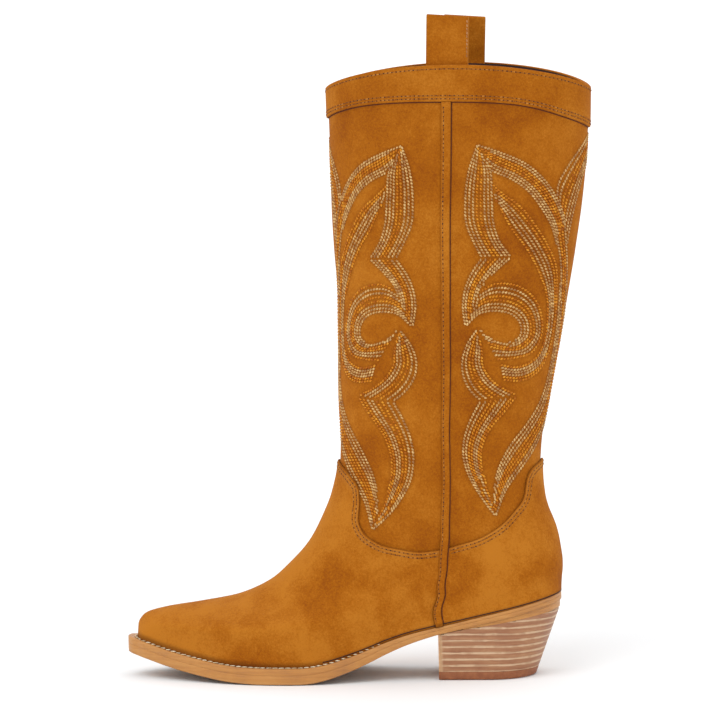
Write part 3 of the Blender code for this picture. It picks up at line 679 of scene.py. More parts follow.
FINISHES = {
    "suede": suede("brushed_suede"),
    "foot_suede": suede("brushed_suede_foot", 0.12, 1.35),
    "band_suede": suede("brushed_suede_band", 0.05),
    "tab_suede": suede("brushed_suede_tab", 0.02),
    # seam_shadow, seat_shadow and needle_hole are dark colours of painted shadow.
    "seam_shadow": plain("seam_shadow_leather", colour(74, 26, 4), colour(104, 42, 8), 500.0, 0.9),
    "cream_thread": thread("cream_thread", colour(236, 194, 128), colour(208, 158, 94),
                           colour(172, 118, 70)),
    "gold_thread": thread("gold_thread", colour(236, 160, 44), colour(216, 130, 18), colour(178, 94, 8)),
    "seam_thread": thread("seam_thread", colour(198, 134, 60), colour(176, 108, 36),
                          colour(142, 78, 18), 0.8),
    "seat_shadow": plain("seat_shadow_leather", colour(36, 12, 4), colour(62, 24, 8), 500.0, 0.9),
    "strap_thread": thread("strap_thread", colour(206, 152, 104), colour(184, 126, 78),
                           colour(150, 92, 48)),
    "welt_thread": thread("welt_thread", colour(250, 240, 214), colour(238, 222, 190),
                          colour(206, 180, 140)),
    "needle_hole": plain("needle_hole_shadow", colour(58, 26, 6), colour(88, 42, 10), 500.0, 0.9),
    "lining": dark_lining("dark_lining_leather"),
    "sole": sole_leather("sole_edge_leather", colour(186, 127, 62), colour(195, 138, 73),
                         colour(164, 109, 58)),
    "stack": stacked_leather("stacked_heel_leather"),
    "breast": sole_leather("heel_breast_leather", colour(190, 146, 106), colour(206, 166, 126),
                           colour(166, 116, 78)),
    "top_lift": plain("top_lift_rubber", colour(132, 74, 40), colour(156, 94, 54), 240.0, 0.62),
    "stiffener": plain("stiffener_board", colour(168, 150, 120), colour(198, 184, 152), 300.0, 0.85),
    "board": plain("insole_fibre_board", colour(120, 92, 62), colour(158, 128, 90), 260.0, 0.85),
    "cork": plain("cork_filler", colour(112, 76, 44), colour(172, 128, 82), 320.0, 0.9, grain=0.7),
    "steel": plain("spring_steel", colour(120, 122, 126), colour(164, 166, 170), 160.0, 0.34, 1.0),
    "brass": plain("nail_brass", colour(150, 112, 52), colour(196, 158, 84), 400.0, 0.36, 1.0),
}
CARRIED_OVER = {
    "front_shaft_lining": "lining", "back_shaft_lining": "lining", "vamp_lining": "lining",
    "heel_lining": "lining", "sock_lining": "lining", "toe_puff": "stiffener",
    "heel_counter_stiffener": "stiffener", "insole_board": "board", "forefoot_filler": "cork",
    "steel_shank": "steel", "heel_screw": "steel",
}
CARRIED_OVER.update({"heel_nail_%d" % (k + 1): "brass" for k in range(NAIL_COUNT)})


def finish_carried_over():
    for node, finish in CARRIED_OVER.items():
        materials = frame["nodes"][node].data.materials
        materials.clear()
        materials.append(FINISHES[finish])


# ---- Stitches ---------------------------------------------------------------------------------------------
GRAIN_SIDES = 6
GRAIN_RINGS = [(-0.86, 0.55), (-0.35, 1.0), (0.35, 1.0), (0.86, 0.55)]


def grain_shape():
    """A plump closed grain between -1 and 1 along each axis, as points and faces."""
    points = [(-1.0, 0.0, 0.0)]
    for along, wide in GRAIN_RINGS:
        for k in range(GRAIN_SIDES):
            turn = 2 * math.pi * (k + 0.5) / GRAIN_SIDES
            points.append((along, wide * math.cos(turn), wide * math.sin(turn)))
    points.append((1.0, 0.0, 0.0))
    end = len(points) - 1
    faces = []
    for k in range(GRAIN_SIDES):
        n = (k + 1) % GRAIN_SIDES
        faces.append((0, 1 + n, 1 + k))
        for ring in range(len(GRAIN_RINGS) - 1):
            a = 1 + ring * GRAIN_SIDES
            faces.append((a + k, a + n, a + GRAIN_SIDES + n, a + GRAIN_SIDES + k))
        last = 1 + (len(GRAIN_RINGS) - 1) * GRAIN_SIDES
        faces.append((last + k, last + n, end))
    return np.array(points), faces


GRAIN_POINTS, GRAIN_FACES = grain_shape()


def grains(name, centres, along, outward, size, finish, slant=0.0, uneven=0.08, body="boot"):
    """One piece made of many small stitches: size is half the length, width and height of each."""
    count = len(centres)
    side = np.cross(outward, along)
    side /= np.linalg.norm(side, axis=-1, keepdims=True)
    along = np.cross(side, outward)
    turn = slant + rng.normal(0.0, 0.05, count)[:, None]
    first = along * np.cos(turn) + side * np.sin(turn)
    second = side * np.cos(turn) - along * np.sin(turn)
    scale = 1 + rng.uniform(-uneven, uneven, (count, 3))
    local = GRAIN_POINTS[None] * (scale * size)[:, None]
    points = centres[:, None] + local[..., :1] * first[:, None] + local[..., 1:2] * second[:, None]
    points = points + local[..., 2:] * outward[:, None]
    faces = []
    for k in range(count):
        start = k * len(GRAIN_POINTS)
        faces.extend(tuple(start + i for i in face) for face in GRAIN_FACES)
    return piece(name, points.reshape(-1, 3), faces, finish, body=body)


SEAM_PITCH = 2.75
SEAM_STITCH = (1.0, 0.42, 0.34)
SEAM_HOLE = (0.46, 0.46, 0.30)
SEAM_SINK = 0.05
HOLE_SINK = 0.02


def seam_places(v, w, offset, pitch, sink=SEAM_SINK):
    """Centres, directions and outward vectors of the stitches along a path on the skin."""
    at = laid(v, w, np.broadcast_to(offset, v.shape))
    run_v, run_w = spaced(at, pitch, v, w)
    run_offset, = spaced(at, pitch, np.broadcast_to(offset, v.shape))
    centres = laid(run_v, run_w, run_offset - sink)
    along = np.gradient(centres, axis=0)
    along /= np.linalg.norm(along, axis=-1, keepdims=True)
    return centres, along, skin_normal(run_v, run_w)


def sewn(name, paths):
    """Rows of seam stitches and, between them, dark grains of painted shadow in the needle holes, along (v,
    w, offset) paths.
    """
    parts = [seam_places(v, w, offset, SEAM_PITCH) for v, w, offset in paths]
    centres, along, outward = (np.concatenate(group) for group in zip(*parts))
    grains(name, centres, along, outward, SEAM_STITCH, FINISHES["seam_thread"], slant=0.12)
    holes = centres + along * (SEAM_PITCH / 2) - outward * HOLE_SINK
    grains(name + "_needle_hole_shadows", holes, along, outward, SEAM_HOLE, FINISHES["needle_hole"], uneven=0.2)


# ---- The stitched motif -----------------------------------------------------------------------------------
# One half of the motif of the back panel, as bands of stitched rows. A band runs between two edges, given as
# points (p, z): p goes from the side seam (0) to the middle line of the panel (1), z is the height above the
# floor. A letter for each row, from the first edge to the second: c cream thread, g gold thread.
MOTIF = [
    ("spear", "cccggccc",
     [(0.147, 333), (0.110, 318), (0.095, 299), (0.105, 284), (0.145, 273), (0.186, 264)],
     [(0.155, 330), (0.208, 319), (0.226, 301), (0.245, 283), (0.280, 273), (0.344, 264)]),
    ("spear_foot", "ccggccc",
     [(0.186, 263), (0.135, 254), (0.100, 243), (0.092, 234), (0.107, 222)],
     [(0.344, 263), (0.262, 255), (0.207, 248), (0.178, 240), (0.165, 233)]),
    ("roof", "ccgggccc",
     [(0.147, 333), (0.283, 327), (0.395, 321), (0.502, 312), (0.60, 301), (0.69, 288), (0.755, 271),
      (0.832, 253), (0.915, 232), (1.00, 214), (1.06, 195), (1.06, 172), (0.98, 158), (0.80, 146),
      (0.631, 134.5), (0.434, 119), (0.334, 103)],
     [(0.161, 328), (0.214, 318), (0.321, 312), (0.414, 305), (0.516, 293), (0.599, 282), (0.671, 268),
      (0.740, 252), (0.785, 234), (0.815, 215), (0.820, 197), (0.780, 178), (0.70, 167), (0.599, 157),
      (0.456, 144), (0.355, 127), (0.328, 113)]),
    ("crest", "ccggccc",
     [(1.0, 338), (0.86, 331), (0.712, 320), (0.62, 306), (0.64, 292)],
     [(1.0, 324), (0.88, 309), (0.81, 295), (0.775, 279), (0.77, 268)]),
    ("sweep", "ggcccg",
     [(0.215, 310), (0.28, 303), (0.36, 296.5), (0.50, 280.6), (0.60, 268), (0.685, 256), (0.73, 241),
      (0.76, 227), (0.765, 214), (0.74, 202), (0.67, 193), (0.57, 188), (0.47, 186.5), (0.36, 187.5)],
     [(0.237, 301), (0.29, 291), (0.338, 282), (0.43, 270), (0.505, 259.5), (0.56, 251), (0.62, 242),
      (0.668, 228), (0.68, 215), (0.66, 206), (0.61, 200), (0.52, 196), (0.43, 195), (0.33, 197)]),
    ("ring", "gccggccc",
     [(0.19, 243), (0.264, 247), (0.388, 246), (0.511, 239), (0.604, 227), (0.630, 213), (0.561, 204),
      (0.427, 201), (0.304, 200.5)],
     [(0.112, 222), (0.194, 229.6), (0.284, 230.6), (0.388, 227.8), (0.450, 221.5), (0.452, 214),
      (0.36, 210.5), (0.26, 213.3), (0.190, 219)]),
    ("hook", "ccggccg",
     [(0.174, 219), (0.120, 210), (0.092, 198), (0.115, 187), (0.172, 179), (0.216, 175.5)],
     [(0.180, 217), (0.197, 211), (0.210, 204), (0.212, 198.5), (0.238, 192.5), (0.292, 186.5), (0.365, 182),
      (0.465, 178)]),
    ("leaf", "ccggccgg",
     [(0.216, 174.5), (0.160, 163), (0.122, 151), (0.114, 143), (0.141, 131), (0.218, 117.5), (0.330, 103)],
     [(0.470, 176.5), (0.395, 168), (0.322, 160), (0.268, 152), (0.240, 144), (0.240, 136), (0.262, 127),
      (0.292, 118), (0.328, 107)]),
]
ROW_PITCH = 2.05
ROW_POINTS = 120
HALF_PANEL_WIDTH = 85.0
EMBROIDERY_STITCH = (0.98, 0.66, 0.52)
EMBROIDERY_SLANT = 0.55
CLOSEST_STITCHES = 1.30
EMBROIDERY_LIFT = 0.12
FRONT_SPREAD = (0.30, 0.06)
FRONT_TIP_DROP = 8.5
FRONT_TIP_SHIFT = 0.05
STITCH_SHADE = 0.20
STITCH_SHADE_RANGE = (1.2, 2.4)
THREADS = {"c": "cream", "g": "gold"}


def even_curve(points, count):
    """A smooth curve through the points, read at even steps."""
    points = np.array(points, float)
    reach = points * (HALF_PANEL_WIDTH, 1.0)
    at = np.concatenate([[0.0], np.cumsum(np.linalg.norm(np.diff(reach, axis=0), axis=1))])
    tangent = np.gradient(points, at, axis=0)
    t = np.linspace(0.0, at[-1], count)
    i = np.clip(np.searchsorted(at, t, side="right") - 1, 0, len(at) - 2)
    step = (at[i + 1] - at[i])[:, None]
    s = ((t - at[i]) / (at[i + 1] - at[i]))[:, None]
    return ((1 + 2 * s) * (1 - s) ** 2 * points[i] + s * (1 - s) ** 2 * step * tangent[i]
            + s * s * (3 - 2 * s) * points[i + 1] + s * s * (s - 1) * step * tangent[i + 1])


def on_front(p, z):
    """The motif of the back panel, spread and lowered a little to fit the front panel."""
    spread = p + FRONT_SPREAD[0] * p * (1 - p) + FRONT_SPREAD[1] * (1 - p)
    return spread - FRONT_TIP_SHIFT * ease(150, 105, z), z - FRONT_TIP_DROP * ease(160, 100, z)


def panel_place(panel, side, p, z):
    """v and w of a place on a half panel at share p from its seam and height z."""
    across = front_w if panel == "front" else back_w
    s = side * (1 - p)
    low, high = np.full(len(p), 0.2), np.full(len(p), 1.0)
    for _ in range(24):
        v = (low + high) / 2
        below = skin(v, across(s, v))[:, 2] < z
        low, high = np.where(below, v, low), np.where(below, high, v)
    return v, across(s, v)


def motif_rows(panel, side):
    """(thread, v, w) of each row of the motif on a half panel."""
    for _, threads, first, second in MOTIF:
        edge_a, edge_b = even_curve(first, ROW_POINTS), even_curve(second, ROW_POINTS)
        for k, letter in enumerate(threads):
            share = k / (len(threads) - 1)
            p, z = (edge_a * (1 - share) + edge_b * share).T
            if panel == "front":
                p, z = on_front(p, z)
            v, w = panel_place(panel, side, np.minimum(p, 1.0), z)
            w = np.where(p > 1.0, np.nan, w)
            yield letter, v, w


def crowded(centre, taken):
    """Whether another stitch is already too close; taken holds the stitches by cell of a coarse grid."""
    cell = tuple(np.floor(centre / CLOSEST_STITCHES).astype(int))
    near = [other for dx in (-1, 0, 1) for dy in (-1, 0, 1) for dz in (-1, 0, 1)
            for other in taken.get((cell[0] + dx, cell[1] + dy, cell[2] + dz), ())]
    if any(np.linalg.norm(other - centre) < CLOSEST_STITCHES for other in near):
        return True
    taken.setdefault(cell, []).append(centre)
    return False


def embroider(panel):
    """The motif's stitches on a panel: at most one stitch in any place, whichever rows meet there."""
    found = {"c": [], "g": []}
    taken = {}
    for side in (-1, 1):
        for letter, v, w in motif_rows(panel, side):
            shown = ~np.isnan(w)
            if shown.sum() < 4:
                continue
            for stitch in zip(*seam_places(v[shown], w[shown], PANEL[1], ROW_PITCH, -EMBROIDERY_LIFT)):
                if not crowded(stitch[0], taken):
                    found[letter].append(stitch)
    for letter, stitches in found.items():
        centres, along, outward = (np.array(group) for group in zip(*stitches))
        grains("%s_motif_%s_thread" % (panel, THREADS[letter]), centres, along, outward, EMBROIDERY_STITCH,
               FINISHES[THREADS[letter] + "_thread"], slant=EMBROIDERY_SLANT)
    return np.array([c for cell in taken.values() for c in cell])


def shade_under_stitches(obj, grid, centres):
    """Paints shade on the suede under and close to the stitches."""
    tree = KDTree(len(centres))
    for i, centre in enumerate(centres):
        tree.insert(centre, i)
    tree.balance()
    values = np.zeros(len(obj.data.vertices), np.float32)
    obj.data.attributes["shade"].data.foreach_get("value", values)
    v, w = grid
    at = laid(v, w, np.zeros(v.shape)).reshape(-1, 3)
    near = np.array([tree.find(point)[2] for point in at])
    values[:len(near)] += STITCH_SHADE * (1 - ease(*STITCH_SHADE_RANGE, near))
    obj.data.attributes["shade"].data.foreach_set("value", values)


# ---- The upper --------------------------------------------------------------------------------------------
STEP_DOWN_V = (0.326, 0.348)
PANEL_TOP_V = 0.9975
STRIP_TAPER = 0.45
STRIP_TAPER_V = (0.10, 0.42)
STRIP_TOP_V = 0.948
STRIP_AHEAD = 0.001
STRIP_DEPTH = (0.25, 0.3)
PALE_TOP = 0.22


def strip_offset(on_foot, on_shaft):
    """An offset along a side seam, which steps down from the foot pieces to the panels."""
    return lambda v: on_shaft + (on_foot - on_shaft) * (1 - ease(*STEP_DOWN_V, v))


def strip_share(v):
    """Width of a side seam strip as a share of its full width: it narrows towards the sole."""
    return 1 - STRIP_TAPER * (1 - ease(*STRIP_TAPER_V, v))


def make_panels():
    for panel, across, low in (("front", front_w, panel_front_low), ("back", back_w, panel_back_low)):
        obj, grid = leather(panel + "_shaft_panel", across, low, PANEL_TOP_V, PANEL, FINISHES["suede"],
                            step=(1.3, 1.5))
        shade_under_stitches(obj, grid, embroider(panel))
    leather("vamp", front_w, 0.0, vamp_top, OVERLAY, FINISHES["foot_suede"], step=(1.1, 1.5),
            round_low=False, pale_top=PALE_TOP)
    leather("heel_counter_cover", back_w, 0.0, counter_top, OVERLAY, FINISHES["foot_suede"],
            round_low=False, pale_top=PALE_TOP)
    for name, side in SIDES:
        strip_leather(name + "_side_seam_strip", side)


def strip_leather(name, side):
    """The long narrow strip over a side seam, from the sole to the collar band."""
    s = np.concatenate([np.linspace(0.0, 0.25, 5), np.linspace(0.35, 0.75, 4), np.linspace(0.83, 1.0, 5)])
    v = np.linspace(0.0, STRIP_TOP_V, 300)[:, None] * np.ones(len(s))
    w = side * (side_seam(v) + STRIP_AHEAD - STRIP_WIDTH * strip_share(v) * (1 - s))
    outer = strip_offset(STRIP_ON_FOOT[1], STRIP[1])(v)
    inner = strip_offset(STRIP_ON_FOOT[0] - STRIP_DEPTH[0], STRIP[0] - STRIP_DEPTH[1])(v)
    border = np.minimum(s, 1 - s) * STRIP_WIDTH * SHAFT_MM_PER_W
    obj = piece(name, layered(v, w, outer - roll(border, 0.7), inner), shell_faces(*v.shape),
                FINISHES["band_suede"], stands_for=(name,))
    # Painted shade along the strip's long edges and the painted shadow where it meets the sole.
    dark = 0.5 * np.clip(1 - border / 0.5, 0, 1) + sole_line(v)
    shade(obj, np.concatenate([dark.ravel(), dark.ravel()]))


BAND_ROWS = 15
BAND_TUCK = 0.3
RIM_FOLD = -2.1
BAND_START_UP = 0.8
BAND_START_DOWN = 1.1


def collar_band(panel, across):
    """A collar band, whose top edge is folded over the panel and the lining."""
    s = edged(-1.0, 1.0, SHAFT_MM_PER_W / 2, 1.8)
    v_low = settled(across, band_low, s)
    height = (1.0 - v_low) * SHAFT_MM_PER_V
    outer, inner = BAND[1], BAND[0] - BAND_TUCK
    section = []
    for up, offset in ((0.0, inner), (0.0, outer - 0.85), (0.10, outer - 0.45), (0.35, outer - 0.15),
                       (BAND_START_UP, outer)):
        section.append((v_low + up / SHAFT_MM_PER_V, offset))
    for share in np.linspace(0.0, 1.0, BAND_ROWS)[1:-1]:
        up = BAND_START_UP + share * (height - BAND_START_UP - BAND_START_DOWN)
        section.append((v_low + up / SHAFT_MM_PER_V, outer))
    for down, offset in ((0.95, outer), (0.45, outer - 0.12), (0.15, outer - 0.4), (0.0, outer - 0.9),
                         (0.0, RIM_FOLD + 0.8), (0.15, RIM_FOLD + 0.3), (0.5, RIM_FOLD),
                         (0.9, RIM_FOLD), (0.9, inner - 0.2), (0.9, inner)):
        section.append((np.full(len(s), 1.0 - down / SHAFT_MM_PER_V), offset))
    rings = [laid(v, across(s, v), np.full(len(s), offset)) for v, offset in section]
    points = np.stack(rings, 1)
    obj = piece(panel + "_collar_band", points.reshape(-1, 3), tube_faces(len(s), len(section)),
                FINISHES["band_suede"], stands_for=(panel + "_collar_band",))
    # Painted shade along the band's lower edge and on the inside of its folded top.
    shade(obj, np.tile([0.4, 0.4, 0.25] + [0.0] * (len(section) - 7) + [0.2, 0.3, 0.3, 0.2], len(s)))


SHADOW_STRIP_DEPTH = 0.3
SEAM_SHADOW_BEHIND = 0.0022
SEAM_SHADOW_WIDTH = 0.6
COUNTER_TOP_AT_SEAM = 0.318
COLLAR_SHADOW_BELOW = 0.0008
SEAT_LINE_V = 0.0016
SEAT_LINE_FROM_U = 0.47
SEAT_LINE_WIDTH = 0.75


def paint_shadow_strip(name, v, w, offset, width, finish="seam_shadow"):
    """A thin dark strip of painted shadow along a joint, standing a little off the leather under it."""
    sides = [beside(v, w, reach) for reach in (-width / 2, width / 2)]
    rings = []
    for lift, (at_v, at_w) in ((0.0, sides[0]), (0.0, sides[1]), (-SHADOW_STRIP_DEPTH, sides[1]),
                               (-SHADOW_STRIP_DEPTH, sides[0])):
        rings.append(laid(at_v, at_w, np.broadcast_to(offset, v.shape) + lift))
    points = np.stack(rings, 1)
    piece(name, points.reshape(-1, 3), tube_faces(len(v), 4), FINISHES[finish])


# Strips of painted shadow along the side seams, under the collar band and where the back of the upper meets
# the sole.
def paint_joint_shadows():
    v = np.linspace(0.004, STRIP_TOP_V, 500)
    under = np.where(v < COUNTER_TOP_AT_SEAM, OVERLAY[1], PANEL[1])
    low = strip_offset(OVERLAY[1] + 0.10, PANEL[1] + 0.12)(v)
    for name, side in SIDES:
        paint_shadow_strip(name + "_seam_shadow_line", v, side * (side_seam(v) + SEAM_SHADOW_BEHIND),
                   np.maximum(under + 0.1, low), SEAM_SHADOW_WIDTH)
    turn = np.linspace(-1.0, 1.0, 900)
    paint_shadow_strip("collar_edge_shadow", band_low(np.abs(turn)) - COLLAR_SHADOW_BELOW, turn,
               np.full(len(turn), PANEL[1] + 0.15), SEAM_SHADOW_WIDTH)
    for name, side in SIDES:
        turn = side * np.linspace(SEAT_LINE_FROM_U, 1.0, 400)
        paint_shadow_strip(name + "_seat_shadow_line", np.full(len(turn), SEAT_LINE_V), turn,
                   np.full(len(turn), OVERLAY[1] + 0.10), SEAT_LINE_WIDTH, "seat_shadow")


RIM_SEAM_DOWN = 2.5
BAND_SEAMS_UP = (1.9, 3.8)
FOOT_SEAMS_IN = (1.7, 3.9)
STRIP_SEAM_IN = 0.0172
BAND_SEAM_SINK = 0.02


def sew_collar():
    turn = np.linspace(-1.0, 1.0, 700)
    band = BAND[1] - BAND_SEAM_SINK
    paths = [(np.full(turn.shape, 1 - RIM_SEAM_DOWN / SHAFT_MM_PER_V), turn, band)]
    for rise in BAND_SEAMS_UP:
        paths.append((band_low(np.abs(turn)) + rise / SHAFT_MM_PER_V, turn, band))
    sewn("collar_seam", paths)


def sew_foot():
    """Two rows inside the upper edge of the vamp and of the counter cover, whose middle is at the back."""
    s = np.linspace(0.002, 0.975, 300)
    runs = [(front_w, vamp_top, np.linspace(-0.975, 0.975, 500), 1), (back_w, counter_top, -s[::-1], -1),
            (back_w, counter_top, s, -1)]
    paths = []
    for across, seam, s, way in runs:
        v = settled(across, seam, s)
        w = across(s, v)
        for inside in FOOT_SEAMS_IN:
            paths.append((*beside(v, w, way * inside), OVERLAY[1]))
    sewn("foot_seam", paths)


def sew_strips():
    v = np.linspace(0.012, 0.940, 700)
    offset = strip_offset(STRIP_ON_FOOT[1], STRIP[1])(v)
    u = side_seam(v) - STRIP_SEAM_IN * strip_share(v)
    sewn("side_seam", [(v, side * u, offset) for _, side in SIDES])


# ---- Pull straps ------------------------------------------------------------------------------------------
STRAP_THICKNESS = 1.15
STRAP_EDGE = 0.35
STRAP_EDGE_DEPTH = 0.45
STRAP_INSET = 0.25
STRAP_SPREAD = TAB_TOP_RADIUS - TAB_BASE_RADIUS + 0.15
STRAP_TOP_INSET = 0.1
STRAP_ROOT_TOP = -1.5
STRAP_SHIFT = -1.5
STRAP_LEAN = 0.034
STRAP_SLOPE = 1.0
STRAP_WAVE = 0.10
STRAP_RIM_FADE = 4.0
STRAP_TOP_DROP = {"lateral": 0.6, "medial": 1.7}
STRAP_COLUMNS = np.array([-1.0, -0.985, -0.95, -0.8, -0.5, -0.2, 0.0, 0.2, 0.5, 0.8, 0.95, 0.985, 1.0])
STRAP_SEAM_IN = 0.9
STRAP_SEAM_LIFT = 0.1
STRAP_SEAM_Z = (3.6, 2.3)
STRAP_BORDER_SHADE = -0.35


def strap_reach(z, top):
    """How far each half of a strap stands from its middle at a height above the hinge line."""
    return TAB_BASE_RADIUS - STRAP_INSET + STRAP_SPREAD * ease(0, top, z)


def strap_path(low, top):
    """(outward, up) places along a strap: up its outer half, over the fold and down its inner half."""
    outer = [(TAB_BASE_RADIUS - STRAP_INSET, z) for z in np.linspace(low, STRAP_ROOT_TOP, 8)]
    outer += [(strap_reach(z, top), z) for z in np.linspace(0.0, top, 14)]
    radius = TAB_TOP_RADIUS - STRAP_TOP_INSET
    turns = np.linspace(0.0, math.pi, 11)[1:-1]
    fold = [(radius * math.cos(a), top + radius * math.sin(a)) for a in turns]
    return np.array(outer + fold + [(-reach, z) for reach, z in reversed(outer)])


def pull_strap(name, side):
    """One strap: sewn down inside the rim, up, folded over at the top and down again."""
    u = TAB_U[name]
    rim = skin(1.0, side * u)
    axis = rim + skin_normal(1.0, side * u) * (TAB_ROOT[0] + TAB_ROOT[1]) / 2
    axis[2] = rim[2] + TAB_AXIS_ABOVE_RIM
    low = float(skin(TAB_ROOT_FROM_V, side * u)[2]) - axis[2]
    top = TAB_TOP_Z - TAB_TOP_RADIUS - axis[2] - STRAP_TOP_DROP[name]
    path = strap_path(low, top)
    run = np.gradient(path, axis=0)
    run /= np.linalg.norm(run, axis=1, keepdims=True)
    edge = TAB_HALF_WIDTH * (1 - np.abs(STRAP_COLUMNS))
    thin = STRAP_EDGE_DEPTH * STRAP_THICKNESS * (1 - rounding(edge / STRAP_EDGE))
    along_rim = STRAP_COLUMNS * TAB_HALF_WIDTH / (math.pi * (back_x(1.0) - front_x(1.0)) / 2)
    grids = []
    for offset in (-thin, thin - STRAP_THICKNESS):
        across = path[:, None, 0] + run[:, None, 1] * offset
        up = path[:, None, 1] - run[:, None, 0] * offset
        wave = STRAP_WAVE * np.sin(up * 0.5 + STRAP_COLUMNS * 2.0)
        lean = STRAP_SHIFT + STRAP_LEAN * np.clip(up, 0.0, None)
        slope = STRAP_SLOPE * STRAP_COLUMNS * np.clip(up / top, 0.0, 1.0)
        under_rim = np.clip(1 + (up - TAB_AXIS_ABOVE_RIM) / SHAFT_MM_PER_V, 0, 1)
        curve = skin(under_rim, side * (u + along_rim))[..., 1] - rim[1]
        y = axis[1] + side * (across + wave) + np.clip(-up / STRAP_RIM_FADE, 0.0, 1.0) * curve
        x = axis[0] + TAB_HALF_WIDTH * STRAP_COLUMNS + lean
        grids.append(np.stack([x, y, axis[2] + up - slope], -1).reshape(-1, 3))
    faces = shell_faces(len(path), len(STRAP_COLUMNS))
    if side > 0:
        faces = [tuple(reversed(face)) for face in faces]
    obj = piece(name + "_pull_strap", np.concatenate(grids), faces, FINISHES["tab_suede"], body=None,
                stands_for=(name + "_tab_root", name + "_pull_tab"))
    border = np.tile(STRAP_BORDER_SHADE * (edge < 0.5), 2 * len(path))
    shade(obj, border)
    sew_strap(name, side, axis, top)
    joint = next(j for j in frame["record"]["behaviour"]["joints"] if j["name"] == name + "_tab_bend")
    x, y, z = joint["pos_m"]
    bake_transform(obj)


def sew_strap(name, side, axis, top):
    """The row of stitches along one edge of a strap's outer half."""
    first, pitch = STRAP_SEAM_Z
    z = np.arange(first, top - 1.0, pitch)
    x = axis[0] + TAB_HALF_WIDTH - STRAP_SEAM_IN + STRAP_SHIFT + STRAP_LEAN * z
    y = axis[1] + side * (strap_reach(z, top) + STRAP_SEAM_LIFT)
    up = np.tile([0.0, 0.0, 1.0], (len(z), 1))
    outward = np.tile([0.0, side * 1.0, 0.0], (len(z), 1))
    grains(name + "_strap_thread", np.stack([x, y, axis[2] + z], -1), up, outward, SEAM_STITCH,
           FINISHES["strap_thread"], slant=0.1, body=name + "_tab")


# ---- Sole and heel ----------------------------------------------------------------------------------------
def outline(toe, side, heel, w):
    """Plan outline of a sole piece: the upper's sole edge grown by these amounts at toe, sides and heel."""
    w = np.asarray(w, float)
    u = np.abs(w)
    first = front_x(0.0) - toe
    last = back_x(0.0) + heel
    x = first + (last - first) * (1 - np.cos(math.pi * u)) / 2
    half = foot_width(x, np.where(w < 0, -1, 1)) + (side(x) if callable(side) else side)
    half = half * rounding((x - first) / (5.0 + abs(toe))) * rounding((last - x) / (30.0 + heel))
    return x, np.where(w < 0, -half, half) + swing(x)


def outsole_top(x):
    return welt_top(x) - welt_thickness(x)


def outsole_bottom(x):
    full = outsole_top(x) - underside(x)
    return outsole_top(x) - np.where(x > HEEL_BREAST_X, np.minimum(full, REAR_OUTSOLE), full)


TOE_LEDGE = 7.8
SOLE_STATIONS = 150
LAYER_GAP = 0.02
TOP_EDGE = [(0.0, 0.55), (0.12, 0.25), (0.28, 0.10), (0.55, 0.0)]
CRISP_EDGE = [(0.0, 0.22), (0.06, 0.08), (0.22, 0.0)]
OUTSOLE_EDGE = [(0.5, 0.0), (0.2, 0.12), (0.0, 0.5)]


def sole_section(lower, upper):
    """Points of a sole edge from bottom to top, as (share of the height, step up, step in)."""
    section = [(0.0, up, inward) for up, inward in lower]
    section += [(0.33, 0.0, 0.0), (0.67, 0.0, 0.0)]
    return section + [(1.0, -down, inward) for down, inward in reversed(upper)]


def sole_point(w, low, high, share, step, inward):
    x, y = outline(TOE_LEDGE - inward, lambda at: overhang(at) - inward, HEEL_OVERHANG - inward, w)
    return np.stack([x, y, low(x) + (high(x) - low(x)) * share + step], -1)


def sole_plate(name, low, high, lower, upper, finish, stands_for):
    """A full sole layer with an edge that is rounded or crisp, closed above and below."""
    u = np.linspace(0.0, 1.0, SOLE_STATIONS)
    section = sole_section(lower, upper)
    outer = [sole_point(-u, low, high, *at) for at in section]
    inner = [sole_point(u, low, high, *at) for at in reversed(section)]
    points = np.stack(outer + inner, 1)
    return piece(name, points.reshape(-1, 3), tube_faces(SOLE_STATIONS, 2 * len(section)), finish,
                 stands_for=stands_for)


WELT_INNER = 9.0
WELT_SEAM_END_X = 14.0
WELT_SEAM_TURN = 0.62
WELT_PITCH = 4.0
WELT_SEAM_TOE = 3.0
WELT_SEAM_OUT = 0.42
WELT_STITCH = (1.85, 0.46, 0.42)
WELT_STITCH_LIFT = 0.35


def make_welt():
    turn = np.linspace(-1.0, 1.0, 2 * SOLE_STATIONS, endpoint=False)
    rings = [sole_point(turn, outsole_top, welt_top, *at) for at in sole_section(CRISP_EDGE, TOP_EDGE)]
    for share in (1.0, 0.0):
        rings.append(sole_point(turn, outsole_top, welt_top, share, 0.0, WELT_INNER))
    points = np.stack(rings, 1)
    piece("welt_ring", points.reshape(-1, 3), tube_faces(len(turn), len(rings), closed_run=True),
          FINISHES["sole"], stands_for=("welt",))


def sew_welt():
    """The row of stitches on the welt, from the outer waist round the toe to the inner waist."""
    turn = np.linspace(-WELT_SEAM_TURN, WELT_SEAM_TURN, 900)
    x, y = outline(WELT_SEAM_TOE, lambda at: WELT_SEAM_OUT * overhang(at), 0.0, turn)
    keep = x < WELT_SEAM_END_X
    x, y = x[keep], y[keep]
    x, y = spaced(np.stack([x, y, welt_top(x)], -1), WELT_PITCH, x, y)
    centres = np.stack([x, y, welt_top(x) + WELT_STITCH_LIFT], -1)
    along = np.gradient(centres, axis=0)
    along /= np.linalg.norm(along, axis=1, keepdims=True)
    up = np.tile([0.0, 0.0, 1.0], (len(x), 1))
    grains("welt_thread", centres, along, up, WELT_STITCH, FINISHES["welt_thread"], slant=0.16,
           uneven=0.12)


def heel_section(z):
    back = np.interp(z, [k[0] for k in HEEL_BACK_X], [k[1] for k in HEEL_BACK_X])
    half = np.interp(z, [k[0] for k in HEEL_HALF_WIDTH], [k[1] for k in HEEL_HALF_WIDTH])
    return back, half


